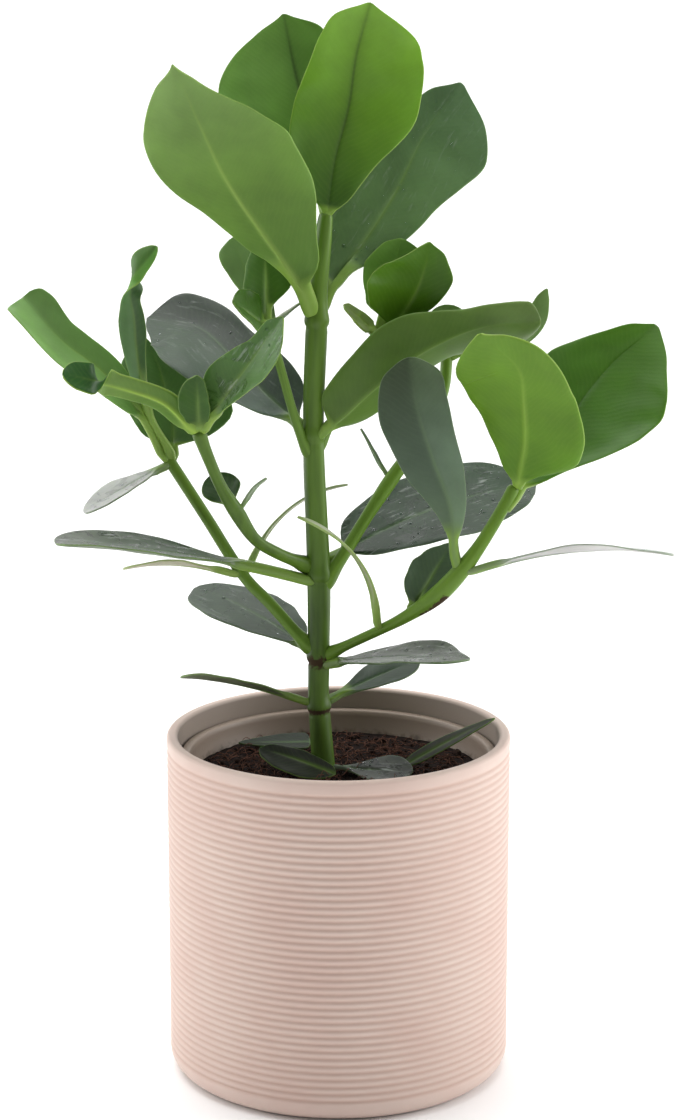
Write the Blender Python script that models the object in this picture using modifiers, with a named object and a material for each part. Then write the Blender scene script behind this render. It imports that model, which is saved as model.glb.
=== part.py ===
"""A potted clusia: a branching shrub with leathery leaves in a ribbed ceramic cover pot.

Frame: metres, +Z up, the origin at the middle of the pot's foot. -Y is the plant's front.
Sizes below are in millimetres and are turned to metres by MM. Every leaf grows from a named
point on the stem or on a branch, and is given by where its tip reaches.
"""

import math
from dataclasses import dataclass

import bmesh
import bpy
from mathutils import Matrix, Vector

MM = 0.001
GAP = 0.4                   # air between pieces that touch on the real plant

# Cover pot
POT_RADIUS = 70.0
POT_HEIGHT = 141.5
POT_WALL = 4.5
POT_FLOOR = 9.0
POT_LIP = 2.2               # radius of the rounded rim
POT_FOOT_ROUND = 8.0        # radius of the corner between wall and foot
POT_STEPS = 64

# Grow pot, the plastic pot that stands inside
GROW_RIM_Z = 133.0
GROW_RIM_RADIUS = 64.3
GROW_RADIUS_TOP = 61.5
GROW_RADIUS_FOOT = 47.0
GROW_WALL = 1.5
GROW_BAND = 9.0             # height of the thicker band under the rim
GROW_STEPS = 48
DRAIN_HOLES = 5
DRAIN_RADIUS = 4.0
DRAIN_RING = 30.0

# Potting soil
SOIL_Z = 123.5              # height of the soil at the wall
SOIL_MOUND = 1.0            # how much higher it lies in the middle
SOIL_STEPS = 48

# Leaves
LEAF_STEPS = 12             # faces along a leaf
LEAF_LANES = 6              # faces across a leaf
LEAF_THICK = 1.2
CREASE = 1.0                # how softly the two halves of a blade meet at the midrib

TUBE_SIDES = 3              # bevel resolution of stems: 10 sides

# The main stem's line: place, and radius of the wood there
STEM_LINE = (
    ((-6, -2, 125.5), 4.8),
    ((-8, 0, 153), 4.6),
    ((-8, 0, 174), 4.5),
    ((-8, 0, 208), 4.6),
    ((-10, 0, 265), 4.2),
    ((-8.6, 0, 308), 4.0),
    ((-8, 1, 321), 3.8),
    ((-5, 3, 350), 2.7),
)

# Named places that a leaf grows from, or lies at, and half the thickness of what is there
STEM_PLACES = {
    "soil_before_stem": ((-1, -14, 127.5), 0.4),
    "soil_behind_stem": ((-11.3, 31, 127.5), 0.3),
    "soil_at_right": ((25.5, -2.5, 127), 0.4),
    "stem_soil": ((-6, -2, 127), 4.9),
    "stem_first": ((-8, 0, 153), 4.7),
    "stem_second": ((-8, 0, 174), 4.5),
    "stem_second_low": ((-8, 0, 170), 4.5),
    "stem_third": ((-8, -1, 204.5), 4.6),
    "stem_third_back": ((-6, 4, 212), 4.2),
    "stem_fourth": ((-10, 0, 265), 4.2),
    "stem_fourth_front": ((-9, -3, 265), 3.9),
    "stem_fifth_front": ((-9.5, -1, 313), 4.0),
    "stem_fifth_back": ((-8.5, 1, 313), 4.0),
    "stem_top": ((-5, 3, 350), 2.7),
}


@dataclass(frozen=True)
class Branch:
    """A side branch: the points its wood runs through, from the stem outwards."""

    name: str
    line: tuple
    radii: tuple                # half its thickness at each of those points


@dataclass(frozen=True)
class Leaf:
    """A leaf: the point it grows from, its tip, and how its blade is turned and bent."""

    name: str
    grows_from: str
    tip: tuple
    width: float
    face: tuple                 # direction that the upper side looks in
    arch: float = 0.0           # how far the midrib bows towards the upper side
    lean: tuple = ()            # how far the midrib lies to the leaf's right, at even steps
    fold: float = 12.0          # degrees that each half is lifted
    turn: tuple = (0, 0, 1)     # degrees that it turns, from and to which share of its length
    left: tuple = ()            # half widths at even steps from stalk to tip
    right: tuple = ()
    blunt: float = 0.08         # share of the length that rounds off at the tip
    widest: float = 0.62        # where along the blade it is widest, without half widths
    base: float = 0.9           # fullness towards the stalk; smaller is fuller
    point: float = 0.55         # roundness of the tip; larger is more pointed
    stalk: float = 0.06         # share of the length that is bare stalk
    stem: float = 1.6           # half the stalk's width
    clear: float = 0.8          # from the wood's skin to where the blade can begin
    back: float = 0.0           # how far the stalk runs back from there
    tone: str = "leaf_green"


BRANCHES = (
    Branch("branch_left_low",
           ((-15, 1, 180.5), (-28, 6, 194), (-39, 10, 205), (-54, 15, 228), (-68, 20, 249)),
           (2.4, 2.4, 2.4, 2.4, 2.4)),
    Branch("branch_right_low",
           ((0, -3, 177), (17, -10, 187), (28, -14, 194), (39, -18, 203), (48, -20, 213),
            (56, -20, 224), (64, -18, 237), (69, -16, 246)),
           (2.0, 2.1, 2.6, 3.7, 3.5, 2.7, 2.5, 2.5)),
    Branch("branch_left_high",
           ((-15.5, -3, 213), (-24, -11, 218.5), (-33, -18, 226), (-40, -23, 238), (-46, -26, 249),
            (-51, -29, 262), (-54, -31, 271)),
           (2.4, 2.4, 2.4, 3.1, 2.4, 2.4, 3.0)),
    Branch("branch_right_high",
           ((-1, 2, 209), (3.5, 4, 217), (11.5, 10, 229), (21, 16, 242.5), (33, 22, 259),
            (42, 27, 276), (44, 30, 290)),
           (2.4, 2.6, 2.5, 3.0, 2.4, 2.4, 2.4)),
    Branch("shoot_left", ((-16, -3, 265), (-19, -5, 278), (-24, -7, 297), (-28, -8, 309)),
           (1.8, 1.8, 1.8, 2.0)),
    Branch("shoot_right", ((-4, 5, 267), (2, 8, 279), (9, 9, 291), (16, 9, 303)),
           (1.8, 1.8, 1.8, 1.8)),
)

# Leaves, from the crown down. grows_from is a place on the stem, or "branch:index of its point"
LEAVES = (
    # crown of the main stem
    Leaf("leaf_crown_front", "stem_fifth_front", (-62, -42, 413), 66, (1, 6, 2), arch=4,
         lean=(-1.2, 3.2, 5.5, 3.4, 0), fold=12, stalk=0.01, stem=2.8, clear=8.5, back=3.5,
         left=(10, 15, 22, 27, 29.3, 30, 29.5, 22.5, 14, 5.5, 0),
         right=(1.5, 3, 9.3, 13, 17, 23.5, 27, 26, 20, 12, 1.5)),
    Leaf("leaf_crown_right", "stem_fifth_back", (49.6, 48, 400), 56, (0, -4, 1), arch=-5,
         lean=(-1.4, 0.6, 0.6, -1.8, 0), fold=8, stalk=0.01, stem=2.6, clear=8.0, back=2.0,
         tone="leaf_deep", left=(8, 15.5, 20.5, 22, 23.5, 23.5, 20.5, 15, 11.5, 8.5, 2.5),
         right=(3, 3, 8.5, 12.5, 15.5, 18, 23.5, 27.5, 27, 19.5, 5)),
    Leaf("leaf_crown_top", "stem_top", (12.4, 8, 433.6), 51, (0, -1, 0), arch=-2,
         lean=(0, -1, 0, -1.2, 0), blunt=0.06, stalk=0.0, stem=2.2, tone="leaf_young",
         left=(4, 10, 16, 20, 21.5, 21.5, 20, 17.5, 15.5, 12.5, 3),
         right=(4.5, 9.5, 14, 18, 22.5, 27, 28, 27.5, 26, 21, 3)),
    Leaf("leaf_crown_back", "stem_top", (-22, 34, 428), 62, (1, -4, 1), stem=2.0,
         left=(10, 19, 24, 28.5, 32, 34, 34.5, 31, 24, 13, 2),
         right=(12, 15, 17.5, 18, 19, 20, 19.5, 18.5, 16.5, 13.5, 3)),
    # pairs on the main stem
    Leaf("leaf_fourth_left", "stem_fourth", (-79.3, 60, 302.5), 54, (0, -1, 2), arch=8,
         lean=(-1, -2, 2, 6, 0), blunt=0.05, stem=2.3, tone="leaf_grey",
         left=(2, 10.5, 16, 23.5, 28, 29.5, 28, 26.5, 24.5, 14, 2),
         right=(8, 15, 17, 17, 16, 14.5, 14, 15, 16.5, 17, 14)),
    Leaf("leaf_fourth_right", "stem_fourth_front", (80.6, 9, 309.5), 47, (-1, 4, 2), arch=-1,
         lean=(1, 9, 14, 11, 0), fold=26, blunt=0.05, stalk=0.0, stem=2.1, clear=3.0,
         tone="leaf_deep", left=(7, 15.5, 18.5, 18.5, 17.5, 16.5, 17, 19, 19.5, 17.5, 11),
         right=(11, 13, 14.5, 16.5, 17.5, 16, 12, 8.5, 8, 8.5, 8)),
    Leaf("leaf_third_left", "stem_third", (-111, -30, 227), 36, (0, 0, 1), arch=3, fold=10,
         point=0.4, stalk=0.2, stem=2.3, tone="leaf_deep"),
    Leaf("leaf_third_right", "stem_third_back", (83, 60, 232), 58, (0, -2, 5), arch=6, fold=10,
         stalk=0.14, stem=2.0, tone="leaf_grey",
         left=(9, 15, 18.5, 20.5, 21.5, 22, 23, 23, 21, 17, 6),
         right=(8, 14.5, 19.5, 24.5, 29, 29, 26.5, 23, 19, 11, 3)),
    Leaf("leaf_second_left", "stem_second", (-60, 48, 190), 36, (0, -1, 4), arch=3, fold=8,
         stem=2.0, tone="leaf_grey", left=(2, 6, 9.5, 13, 15, 17, 17.5, 16.5, 14.5, 10.5, 4),
         right=(3, 8.5, 11, 14, 14, 14.5, 13.5, 12.5, 10, 7.5, 4)),
    Leaf("leaf_second_right", "stem_second_low", (52, -30, 180), 36, (0, 0, 1), arch=2, fold=8,
         widest=0.65, point=0.45, stem=2.2, tone="leaf_grey",
         left=(2, 8, 11, 14, 16, 17, 17, 16, 12, 6, 2),
         right=(2, 8, 14, 17, 18, 18, 18, 18, 17, 14, 6)),
    Leaf("leaf_first_left", "stem_first", (-64, -6, 166), 26, (0, 1, 3), arch=2, fold=8,
         tone="leaf_deep"),
    Leaf("leaf_first_right", "stem_first", (33, 20, 166), 19, (0, -1, 3), arch=1, fold=8,
         tone="leaf_grey"),
    # leaves that lie on and just above the soil
    Leaf("leaf_soil_back", "soil_behind_stem", (-42, 30, 127.5), 24, (0, -0.15, 1), fold=6,
         stalk=0.0, stem=1.0, clear=0.3, tone="leaf_grey",
         left=(7, 7, 6.6, 6, 5.4, 4.8, 4.2, 3.4, 2.6, 1.6, 0.5),
         right=(8, 8.2, 8, 7.6, 7, 6.2, 5.5, 4.5, 3.4, 2, 0.5)),
    Leaf("leaf_soil_front", "soil_before_stem", (-32.5, 0, 134), 34, (0, -1, 2), arch=1, fold=6,
         stalk=0.0, stem=1.0, clear=0.3, tone="leaf_deep",
         left=(3, 6, 8, 9, 9.5, 9.5, 9, 8, 6.5, 4.5, 1.5),
         right=(2.5, 3.5, 4.2, 4.8, 5.3, 5.6, 5.6, 5.2, 4.8, 3.5, 1)),
    Leaf("leaf_soil_wet", "stem_soil", (30, -13, 128), 20, (0, -0.3, 1), fold=6, stem=1.2,
         tone="leaf_grey"),
    Leaf("leaf_soil_rim", "soil_at_right", (64.5, 12, 143.5), 14, (0, -1, 1.5), arch=1, fold=6,
         stalk=0.0, stem=0.8, clear=0.3, tone="leaf_deep", left=(1, 2.6, 3, 3, 2.6, 2, 1.2, 0.4),
         right=(1, 2.6, 3, 3, 2.6, 2, 1.2, 0.4)),
    # lower branch on the left
    Leaf("leaf_left_low_strap", "branch_left_low:2", (-87, 2, 209), 22, (0, 1, 4), arch=3, fold=6,
         clear=1.4),
    Leaf("leaf_left_low_arc", "branch_left_low:2", (4, 30, 238), 16, (-5, 1, 5), arch=8, fold=6,
         tone="leaf_deep", left=(1.5, 3, 4, 4, 3, 2, 0.5), right=(1.5, 3, 4, 4, 3, 2, 0.5)),
    Leaf("leaf_left_low_long", "branch_left_low:4", (-128.5, 14, 317.5), 27, (1, -2, 2), arch=7,
         lean=(0, 1.5, -0.5, -4, 0), fold=24, blunt=0.04, stalk=0.2, clear=4.0,
         left=(3, 8, 11.5, 14, 15.5, 15.5, 15.5, 15.5, 16, 17, 15.5),
         right=(2, 3, 6, 7.5, 8, 8.5, 9, 9, 9.5, 10, 8)),
    Leaf("leaf_left_low_upright", "branch_left_low:4", (-72, 8, 339), 19, (0, -1, 0),
         lean=(0, -6.5, -9.5, -10.7, -10.8, -11, 0), fold=34, turn=(170, 0.74, 0.92), blunt=0.1,
         stalk=0.2, clear=2.5, left=(1.5, 1.5, 3.5, 5, 6, 7, 7, 4.5, 3.5, 3, 2.5),
         right=(1.5, 1.5, 2, 3.5, 4.5, 5.5, 5, 4.5, 6.5, 7, 5)),
    Leaf("leaf_left_low_broad", "branch_left_low:4", (-79.5, 45, 296.5), 48, (0, -2, 1),
         lean=(2, 4, 3.7, 3, 0), fold=8, clear=2.0, tone="leaf_deep",
         left=(8, 13, 15, 16, 17, 17, 17, 16, 15, 12.5, 3),
         right=(10, 18, 25, 23.5, 17.5, 13, 8, 3.5, 1.5, 1, 1)),
    Leaf("leaf_left_low_silver", "branch_left_low:4", (-102, 2, 232), 21, (0, 0, 1), arch=1,
         fold=8, widest=0.55, tone="leaf_grey"),
    # upper branch on the left
    Leaf("leaf_left_high_round", "branch_left_high:3", (-50, -11, 250.5), 16, (0, -1, 1), fold=6,
         widest=0.5, clear=1.4, tone="leaf_deep"),
    Leaf("leaf_left_high_spike", "branch_left_high:3", (-28, -20, 251), 8, (0, 1, 3), arch=1,
         fold=6, stem=0.9, tone="leaf_grey", left=(1, 2, 2.5, 2, 1.5, 0.8),
         right=(1, 2, 2.5, 2, 1.5, 0.8)),
    Leaf("leaf_left_high_twisted", "branch_left_high:6", (-105, -48, 297), 17, (0, 2, 1), arch=4,
         lean=(-1, -4.5, -3, -1, 0), fold=14, turn=(-110, 0.66, 0.79), blunt=0.1, stalk=0.03,
         stem=2.0, tone="leaf_young", left=(3, 4.5, 5, 5, 5, 5, 5.2, 7, 7, 6, 5),
         right=(3, 4.5, 5, 5, 5, 5, 5.2, 7, 7, 6, 5)),
    Leaf("leaf_left_high_curved", "branch_left_high:6", (-21, -48, 319), 26, (-1, -2, 1), fold=28,
         blunt=0.12, stem=2.0, left=(5, 7.5, 10, 11.5, 11, 9.5, 7.5, 5, 4.5, 4, 2),
         right=(1, 3, 5.5, 8, 10.5, 12.5, 15, 15.5, 14.5, 10.5, 4)),
    Leaf("leaf_left_high_small", "branch_left_high:6", (-54, -44, 296), 13, (0, -1, 0), fold=14,
         widest=0.55, stalk=0.1, stem=1.8, clear=2.5, tone="leaf_deep",
         left=(2, 4.5, 5.5, 7, 7.5, 7.5, 7.5, 7, 6, 4, 1),
         right=(2.5, 3.5, 4, 4.5, 4.5, 4, 4, 3.5, 3, 2.5, 1)),
    # short shoot inside the crown, left
    Leaf("leaf_inner_left_outer", "shoot_left:2", (-42, 18, 341), 24, (0, -1, 0), clear=2.6,
         left=(2, 2.5, 2.5, 3, 4, 4.5, 6, 7, 8, 7.5, 4),
         right=(3, 4, 5, 6, 7, 7.5, 8, 8.5, 8.5, 7.5, 4)),
    Leaf("leaf_inner_left_keeled", "shoot_left:3", (-29, 6, 342), 20, (0, 1, 0), fold=24,
         tone="leaf_deep", left=(1, 1.5, 4.5, 8, 10.5, 10.5, 10, 8, 6.5, 3, 1),
         right=(4, 6, 7.5, 9, 10, 9.5, 9, 8.5, 7, 5, 1)),
    Leaf("leaf_inner_left_small", "shoot_left:3", (-41, -22, 321), 17, (0, -1, 1), base=0.6,
         tone="leaf_deep", left=(4, 6, 7, 6, 4.5, 4.5, 4, 3.5, 2.5, 1.5, 0.5),
         right=(8, 11, 11, 10.5, 10.5, 10.5, 9.5, 8.5, 7.5, 4.5, 1)),
    Leaf("leaf_inner_left_sliver", "shoot_left:3", (-15, 2, 317), 8, (0, 1, 3), stem=1.0,
         tone="leaf_grey", left=(1, 2, 2.5, 2, 1.5, 0.8), right=(1, 2, 2.5, 2, 1.5, 0.8)),
    # short shoot inside the crown, right
    Leaf("leaf_inner_right_front", "shoot_right:3", (36, 4, 341), 36, (1, -3, 0),
         lean=(4, 4.8, 4.8, 3.2, 0), fold=14,
         left=(2.5, 15, 18.5, 21.5, 23, 22.5, 21.5, 19, 14.5, 6.5, 1.5),
         right=(2, 2.5, 5.5, 7.5, 9.5, 11, 12, 12, 9, 6.5, 2)),
    Leaf("leaf_inner_right_back", "shoot_right:3", (25, 16, 341), 21, (0, -1, 0), fold=8,
         clear=5.0, left=(6, 8, 9, 10.5, 11.5, 12, 12, 10.5, 8.5, 6, 2),
         right=(6, 7.5, 9, 10.5, 11, 11, 11.5, 11.5, 10, 8, 4)),
    Leaf("leaf_inner_right_spear", "shoot_right:3", (2, 6, 316), 9, (0, -1, 1), clear=1.5,
         tone="leaf_young", left=(2.4, 2.9, 2.9, 2.5, 2, 1.3, 0.4),
         right=(2.4, 2.9, 2.9, 2.5, 2, 1.3, 0.4)),
    # lower branch on the right
    Leaf("leaf_right_low_arc", "branch_right_low:1", (-16, -32, 238), 16, (1, 0.2, 1), arch=9,
         fold=4, left=(1.5, 3, 4, 4, 3.5, 2.5, 1), right=(1.5, 3, 4, 4, 3.5, 2.5, 1)),
    Leaf("leaf_right_low_round", "branch_right_low:2", (45.5, 0, 220.5), 24, (0, -1, 0), fold=8,
         widest=0.55, base=0.5, point=0.5, stalk=0.0, stem=1.8, clear=2.5, tone="leaf_deep",
         left=(4, 7, 9, 9.5, 10, 10, 8.5, 7.5, 5.5, 2.5, 1),
         right=(1, 2, 3.5, 4.5, 5, 5.5, 5.5, 5.5, 5, 2.5, 1)),
    Leaf("leaf_right_low_dark", "branch_right_low:4", (27, -32, 301), 36, (-1, -5, 1), arch=2,
         lean=(-0.4, 2.6, 0.4, -1, 0), fold=10, stalk=0.08, stem=1.9, clear=3.5, tone="leaf_grey",
         left=(1, 4, 7, 9.5, 12, 13.5, 14.5, 15.5, 14.5, 12, 6.5),
         right=(1.5, 4, 6.5, 9, 11, 11.5, 12, 12.5, 12.5, 12, 7)),
    Leaf("leaf_right_low_silver", "branch_right_low:4", (130, -42, 225), 30, (0, 1, 4), arch=5,
         fold=6, clear=1.8, tone="leaf_grey"),
    Leaf("leaf_right_low_lime", "branch_right_low:7", (54, -46, 312.4), 46, (1, 5, 1), arch=2,
         lean=(-3, -8, -10.5, -11, 0), fold=8, stalk=0.015, stem=2.2, tone="leaf_young",
         left=(9, 20.5, 23, 22.8, 21.3, 19.5, 17.3, 14.3, 10.8, 6.8, 1),
         right=(5, 8.5, 12.5, 15.5, 18.5, 22, 25, 25.5, 25.5, 22.5, 5)),
    Leaf("leaf_right_low_far", "branch_right_low:6", (128, 22, 305.3), 50, (-1, -4, 2),
         lean=(0, -2, -3.7, -4, 0), fold=8, stem=2.2, clear=8.2,
         left=(6, 9.5, 13, 16.5, 19.5, 22, 22.5, 17.5, 12, 8, 3),
         right=(4, 9, 15.5, 22.5, 28, 31, 32.5, 30, 26, 16, 5)),
    # upper branch on the right
    Leaf("leaf_right_high_end", "branch_right_high:6", (85, 36, 318), 20, (-1, -2, 1),
         lean=(0, 4, 8, 8, 0), fold=10, tone="leaf_deep", left=(2, 4, 6, 7, 7, 6.5, 5, 3, 1),
         right=(2, 4, 6, 7, 7, 6.5, 5, 3, 1)),
    Leaf("leaf_right_high_bud", "branch_right_high:6", (45, 40, 311), 16, (0, -1, 0), fold=10,
         clear=2.0, tone="leaf_deep"),
    Leaf("leaf_right_high_sliver", "branch_right_high:3", (9, 27, 262), 10, (1, 1, 3), stem=0.9,
         tone="leaf_grey", left=(1, 2, 2.5, 2, 1.5, 0.8), right=(1, 2, 2.5, 2, 1.5, 0.8)),
)

COLOURS = {
    "pot_ceramic": ((0.60, 0.43, 0.36), 0.75),
    "grow_pot_plastic": ((0.20, 0.16, 0.12), 0.55),
    "soil": ((0.030, 0.020, 0.014), 0.95),
    "stem_green": ((0.10, 0.16, 0.04), 0.50),
    "leaf_green": ((0.12, 0.24, 0.05), 0.42),
    "leaf_young": ((0.16, 0.30, 0.05), 0.42),
    "leaf_deep": ((0.07, 0.15, 0.05), 0.42),
    "leaf_grey": ((0.11, 0.14, 0.10), 0.35),
}


def clear_scene():
    """Removes what the scene holds."""
    for obj in list(bpy.data.objects):
        bpy.data.objects.remove(obj, do_unlink=True)


def make_collection(name):
    """Makes a collection under the scene's own."""
    collection = bpy.data.collections.new(name)
    bpy.context.scene.collection.children.link(collection)
    return collection


def make_materials():
    """Makes one Principled material for each finish."""
    materials = {}
    for name, (colour, roughness) in COLOURS.items():
        material = bpy.data.materials.new(name)
        material.use_nodes = True
        shader = material.node_tree.nodes["Principled BSDF"]
        shader.inputs["Base Color"].default_value = (*colour, 1.0)
        shader.inputs["Roughness"].default_value = roughness
        shader.inputs["Metallic"].default_value = 0.0
        materials[name] = material
    return materials


def add_object(name, data, collection, material):
    """Puts mesh or curve data into the collection as an object with a material."""
    obj = bpy.data.objects.new(name, data)
    collection.objects.link(obj)
    data.materials.append(material)
    return obj


def quarter(centre_x, centre_z, radius, start, steps):
    """Points on a quarter circle, from the angle start in degrees, turning clockwise."""
    points = []
    for step in range(steps + 1):
        angle = math.radians(start - 90.0 * step / steps)
        points.append((centre_x + radius * math.cos(angle), centre_z + radius * math.sin(angle)))
    return points


def turned(name, profile, steps, collection, material):
    """A turned solid from (radius, height) points that start and end on the axis."""
    mesh = bpy.data.meshes.new(name)
    points = [(radius * MM, 0.0, height * MM) for radius, height in profile]
    mesh.from_pydata(points, [(i, i + 1) for i in range(len(points) - 1)], [])
    obj = add_object(name, mesh, collection, material)
    screw = obj.modifiers.new("Turn", "SCREW")
    screw.steps = steps
    screw.render_steps = steps
    screw.use_merge_vertices = True
    screw.merge_threshold = 0.00001
    screw.use_smooth_shade = True
    return obj


def build_cover_pot(collection, materials):
    """The straight ceramic cylinder with a rounded lip and a rounded foot corner."""
    inner = POT_RADIUS - POT_WALL
    lip_z = POT_HEIGHT - POT_LIP
    profile = [(0.0, POT_FLOOR), (inner - 5.0, POT_FLOOR), (inner - 1.5, POT_FLOOR + 1.5)]
    profile += [(inner, POT_FLOOR + 5.0)]
    profile += quarter(inner + POT_LIP, lip_z, POT_LIP, 180.0, 3)
    profile += quarter(POT_RADIUS - POT_LIP, lip_z, POT_LIP, 90.0, 3)
    profile += [(POT_RADIUS, POT_HEIGHT * share) for share in (0.75, 0.5, 0.25)]
    profile += quarter(POT_RADIUS - POT_FOOT_ROUND, POT_FOOT_ROUND, POT_FOOT_ROUND, 0.0, 4)
    profile += [(0.0, 0.0)]
    return turned("cover_pot", profile, POT_STEPS, collection, materials["pot_ceramic"])


def build_grow_pot(collection, cutters, materials):
    """The tapering plastic pot with a rolled rim and drainage holes in its floor."""
    foot = POT_FLOOR + GAP
    band_z = GROW_RIM_Z - GROW_BAND
    inner_top = GROW_RADIUS_TOP - GROW_WALL
    profile = [(0.0, foot + GROW_WALL), (GROW_RADIUS_FOOT - GROW_WALL - 1.0, foot + GROW_WALL)]
    profile += [(inner_top, band_z), (inner_top + 0.6, GROW_RIM_Z - 0.5), (inner_top + 1.1, GROW_RIM_Z)]
    profile += [(GROW_RIM_RADIUS - 0.5, GROW_RIM_Z), (GROW_RIM_RADIUS, GROW_RIM_Z - 0.5)]
    profile += [(GROW_RIM_RADIUS, GROW_RIM_Z - 2.5), (GROW_RADIUS_TOP + 0.6, GROW_RIM_Z - 2.5)]
    profile += [(GROW_RADIUS_TOP, band_z), (GROW_RADIUS_FOOT, foot + 1.0), (GROW_RADIUS_FOOT - 1.0, foot)]
    profile += [(0.0, foot)]
    pot = turned("grow_pot", profile, GROW_STEPS, collection, materials["grow_pot_plastic"])
    for index in range(DRAIN_HOLES):
        angle = 2.0 * math.pi * index / DRAIN_HOLES
        place = Vector((DRAIN_RING * math.cos(angle), DRAIN_RING * math.sin(angle), foot))
        cutter_mesh = bpy.data.meshes.new(f"drain_cutter_{index}")
        shape = bmesh.new()
        bmesh.ops.create_cone(shape, cap_ends=True, segments=12, radius1=DRAIN_RADIUS * MM,
                              radius2=DRAIN_RADIUS * MM, depth=6.0 * GROW_WALL * MM)
        shape.to_mesh(cutter_mesh)
        shape.free()
        cutter = add_object(f"drain_cutter_{index}", cutter_mesh, cutters, materials["soil"])
        cutter.location = place * MM
        cutter.hide_render = True
        cutter.display_type = "WIRE"
        cut = pot.modifiers.new(f"Drain hole {index}", "BOOLEAN")
        cut.operation = "DIFFERENCE"
        cut.object = cutter
    return pot


def build_soil(collection, materials):
    """The root ball: it fills the grow pot and is slightly mounded on top."""
    foot = POT_FLOOR + GAP + GROW_WALL + GAP
    low_radius = GROW_RADIUS_FOOT - GROW_WALL - 1.0 - GAP
    high_radius = GROW_RADIUS_TOP - GROW_WALL - GAP
    profile = [(0.0, SOIL_Z + SOIL_MOUND), (0.5 * high_radius, SOIL_Z + 0.8 * SOIL_MOUND)]
    profile += [(0.85 * high_radius, SOIL_Z + 0.3 * SOIL_MOUND), (high_radius - 0.2, SOIL_Z)]
    profile += [(low_radius, foot), (0.0, foot)]
    return turned("potting_soil", profile, SOIL_STEPS, collection, materials["soil"])


def smooth_line(points, cuts):
    """Points of a smooth curve through the given ones, with cuts new points in each stretch."""
    line = []
    for index in range(len(points) - 1):
        before = points[max(index - 1, 0)]
        here, after = points[index], points[index + 1]
        beyond = points[min(index + 2, len(points) - 1)]
        for cut in range(cuts):
            t = cut / cuts
            line.append(0.5 * ((2.0 * here) + (after - before) * t
                               + (2.0 * before - 5.0 * here + 4.0 * after - beyond) * t ** 2
                               + (3.0 * here - before - 3.0 * after + beyond) * t ** 3))
    line.append(points[-1])
    return line


def build_tube(name, points, radii, cuts, collection, material):
    """A stem: a round tube along a smooth line, with its own radius at each point."""
    line = smooth_line([Vector((*place, radius)) for place, radius in zip(points, radii)], cuts)
    curve = bpy.data.curves.new(name, "CURVE")
    curve.dimensions = "3D"
    curve.bevel_depth = MM
    curve.bevel_resolution = TUBE_SIDES
    curve.use_fill_caps = True
    spline = curve.splines.new("POLY")
    spline.points.add(len(line) - 1)
    for point, place in zip(spline.points, line):
        point.co = (place[0] * MM, place[1] * MM, place[2] * MM, 1.0)
        point.radius = place[3]
    return add_object(name, curve, collection, material)


def build_stems(collection, materials):
    """The main stem and its branches; gives back each named place with its radius."""
    joints = {name: (Vector(place), radius) for name, (place, radius) in STEM_PLACES.items()}
    points = [place for place, _ in STEM_LINE]
    radii = [radius for _, radius in STEM_LINE]
    build_tube("main_stem", points, radii, 2, collection, materials["stem_green"])
    for branch in BRANCHES:
        build_tube(branch.name, branch.line, branch.radii, 2, collection, materials["stem_green"])
        for index, place in enumerate(branch.line):
            joints[f"{branch.name}:{index}"] = (Vector(place), branch.radii[index])
    return joints


def ease(value, low, high):
    """Rises smoothly from 0 at low to 1 at high."""
    t = min(1.0, max(0.0, (value - low) / (high - low)))
    return t * t * (3.0 - 2.0 * t)


def along_curve(values, share):
    """Reads a smooth curve through values that stand at even steps from 0 to 1."""
    place = min(1.0, max(0.0, share)) * (len(values) - 1)
    index = min(int(place), len(values) - 2)
    t = place - index
    before, beyond = values[max(index - 1, 0)], values[min(index + 2, len(values) - 1)]
    here, after = values[index], values[index + 1]
    return 0.5 * (2.0 * here + (after - before) * t
                  + (2.0 * before - 5.0 * here + 4.0 * after - beyond) * t ** 2
                  + (3.0 * here - before - 3.0 * after + beyond) * t ** 3)


def blade_width(leaf, along, side):
    """Half the leaf's width at a share of its length, on its left (-1) or right (1)."""
    blade = max(0.0, (along - leaf.stalk) / (1.0 - leaf.stalk))
    if leaf.left:
        end = max(0.0, 1.0 - (1.0 - blade) / leaf.blunt)
        base = max(0.0, 1.0 - blade / 0.07)
        outline = max(0.0, along_curve(leaf.right if side > 0.0 else leaf.left, blade))
        outline *= math.sqrt(max(0.0, (1.0 - end * end) * (1.0 - base * base)))
    else:
        outline = max(0.0, math.sin(math.pi * blade ** (math.log(0.5) / math.log(leaf.widest))))
        outline **= leaf.base if blade < leaf.widest else leaf.point
        outline *= 0.5 * leaf.width
    return math.hypot(leaf.stem * min(1.0, 12.0 * (1.0 - along)), outline)


def spine(leaf, start, along):
    """The midrib's place at a share of its length, and the blade's own right and upper side."""
    chord = Vector(leaf.tip) - start
    forward = chord.normalized()
    up = Vector(leaf.face)
    up = (up - forward * up.dot(forward)).normalized()
    right = forward.cross(up)
    held = max(0.0, along)
    side = along_curve(leaf.lean, held) if leaf.lean else 0.0
    rise = leaf.arch * 4.0 * held * (1.0 - held)
    return start + chord * along + right * side + up * rise, up


def leaf_point(leaf, start, along, across):
    """A point of the leaf's surface: along runs from stalk to tip, across from -1 to 1."""
    midrib, up = spine(leaf, start, along)
    ahead, behind = spine(leaf, start, along + 0.01)[0], spine(leaf, start, along - 0.01)[0]
    tangent = (ahead - behind).normalized()
    up = (up - tangent * up.dot(tangent)).normalized()
    degrees = leaf.turn[0] * ease(along, *leaf.turn[1:])
    up = Matrix.Rotation(math.radians(degrees), 3, tangent) @ up
    right = tangent.cross(up)
    reach = across * blade_width(leaf, max(0.0, along), math.copysign(1.0, across))
    lift = math.hypot(reach * math.sin(math.radians(leaf.fold)), CREASE) - CREASE
    return midrib + right * (reach * math.cos(math.radians(leaf.fold))) + up * lift


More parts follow.
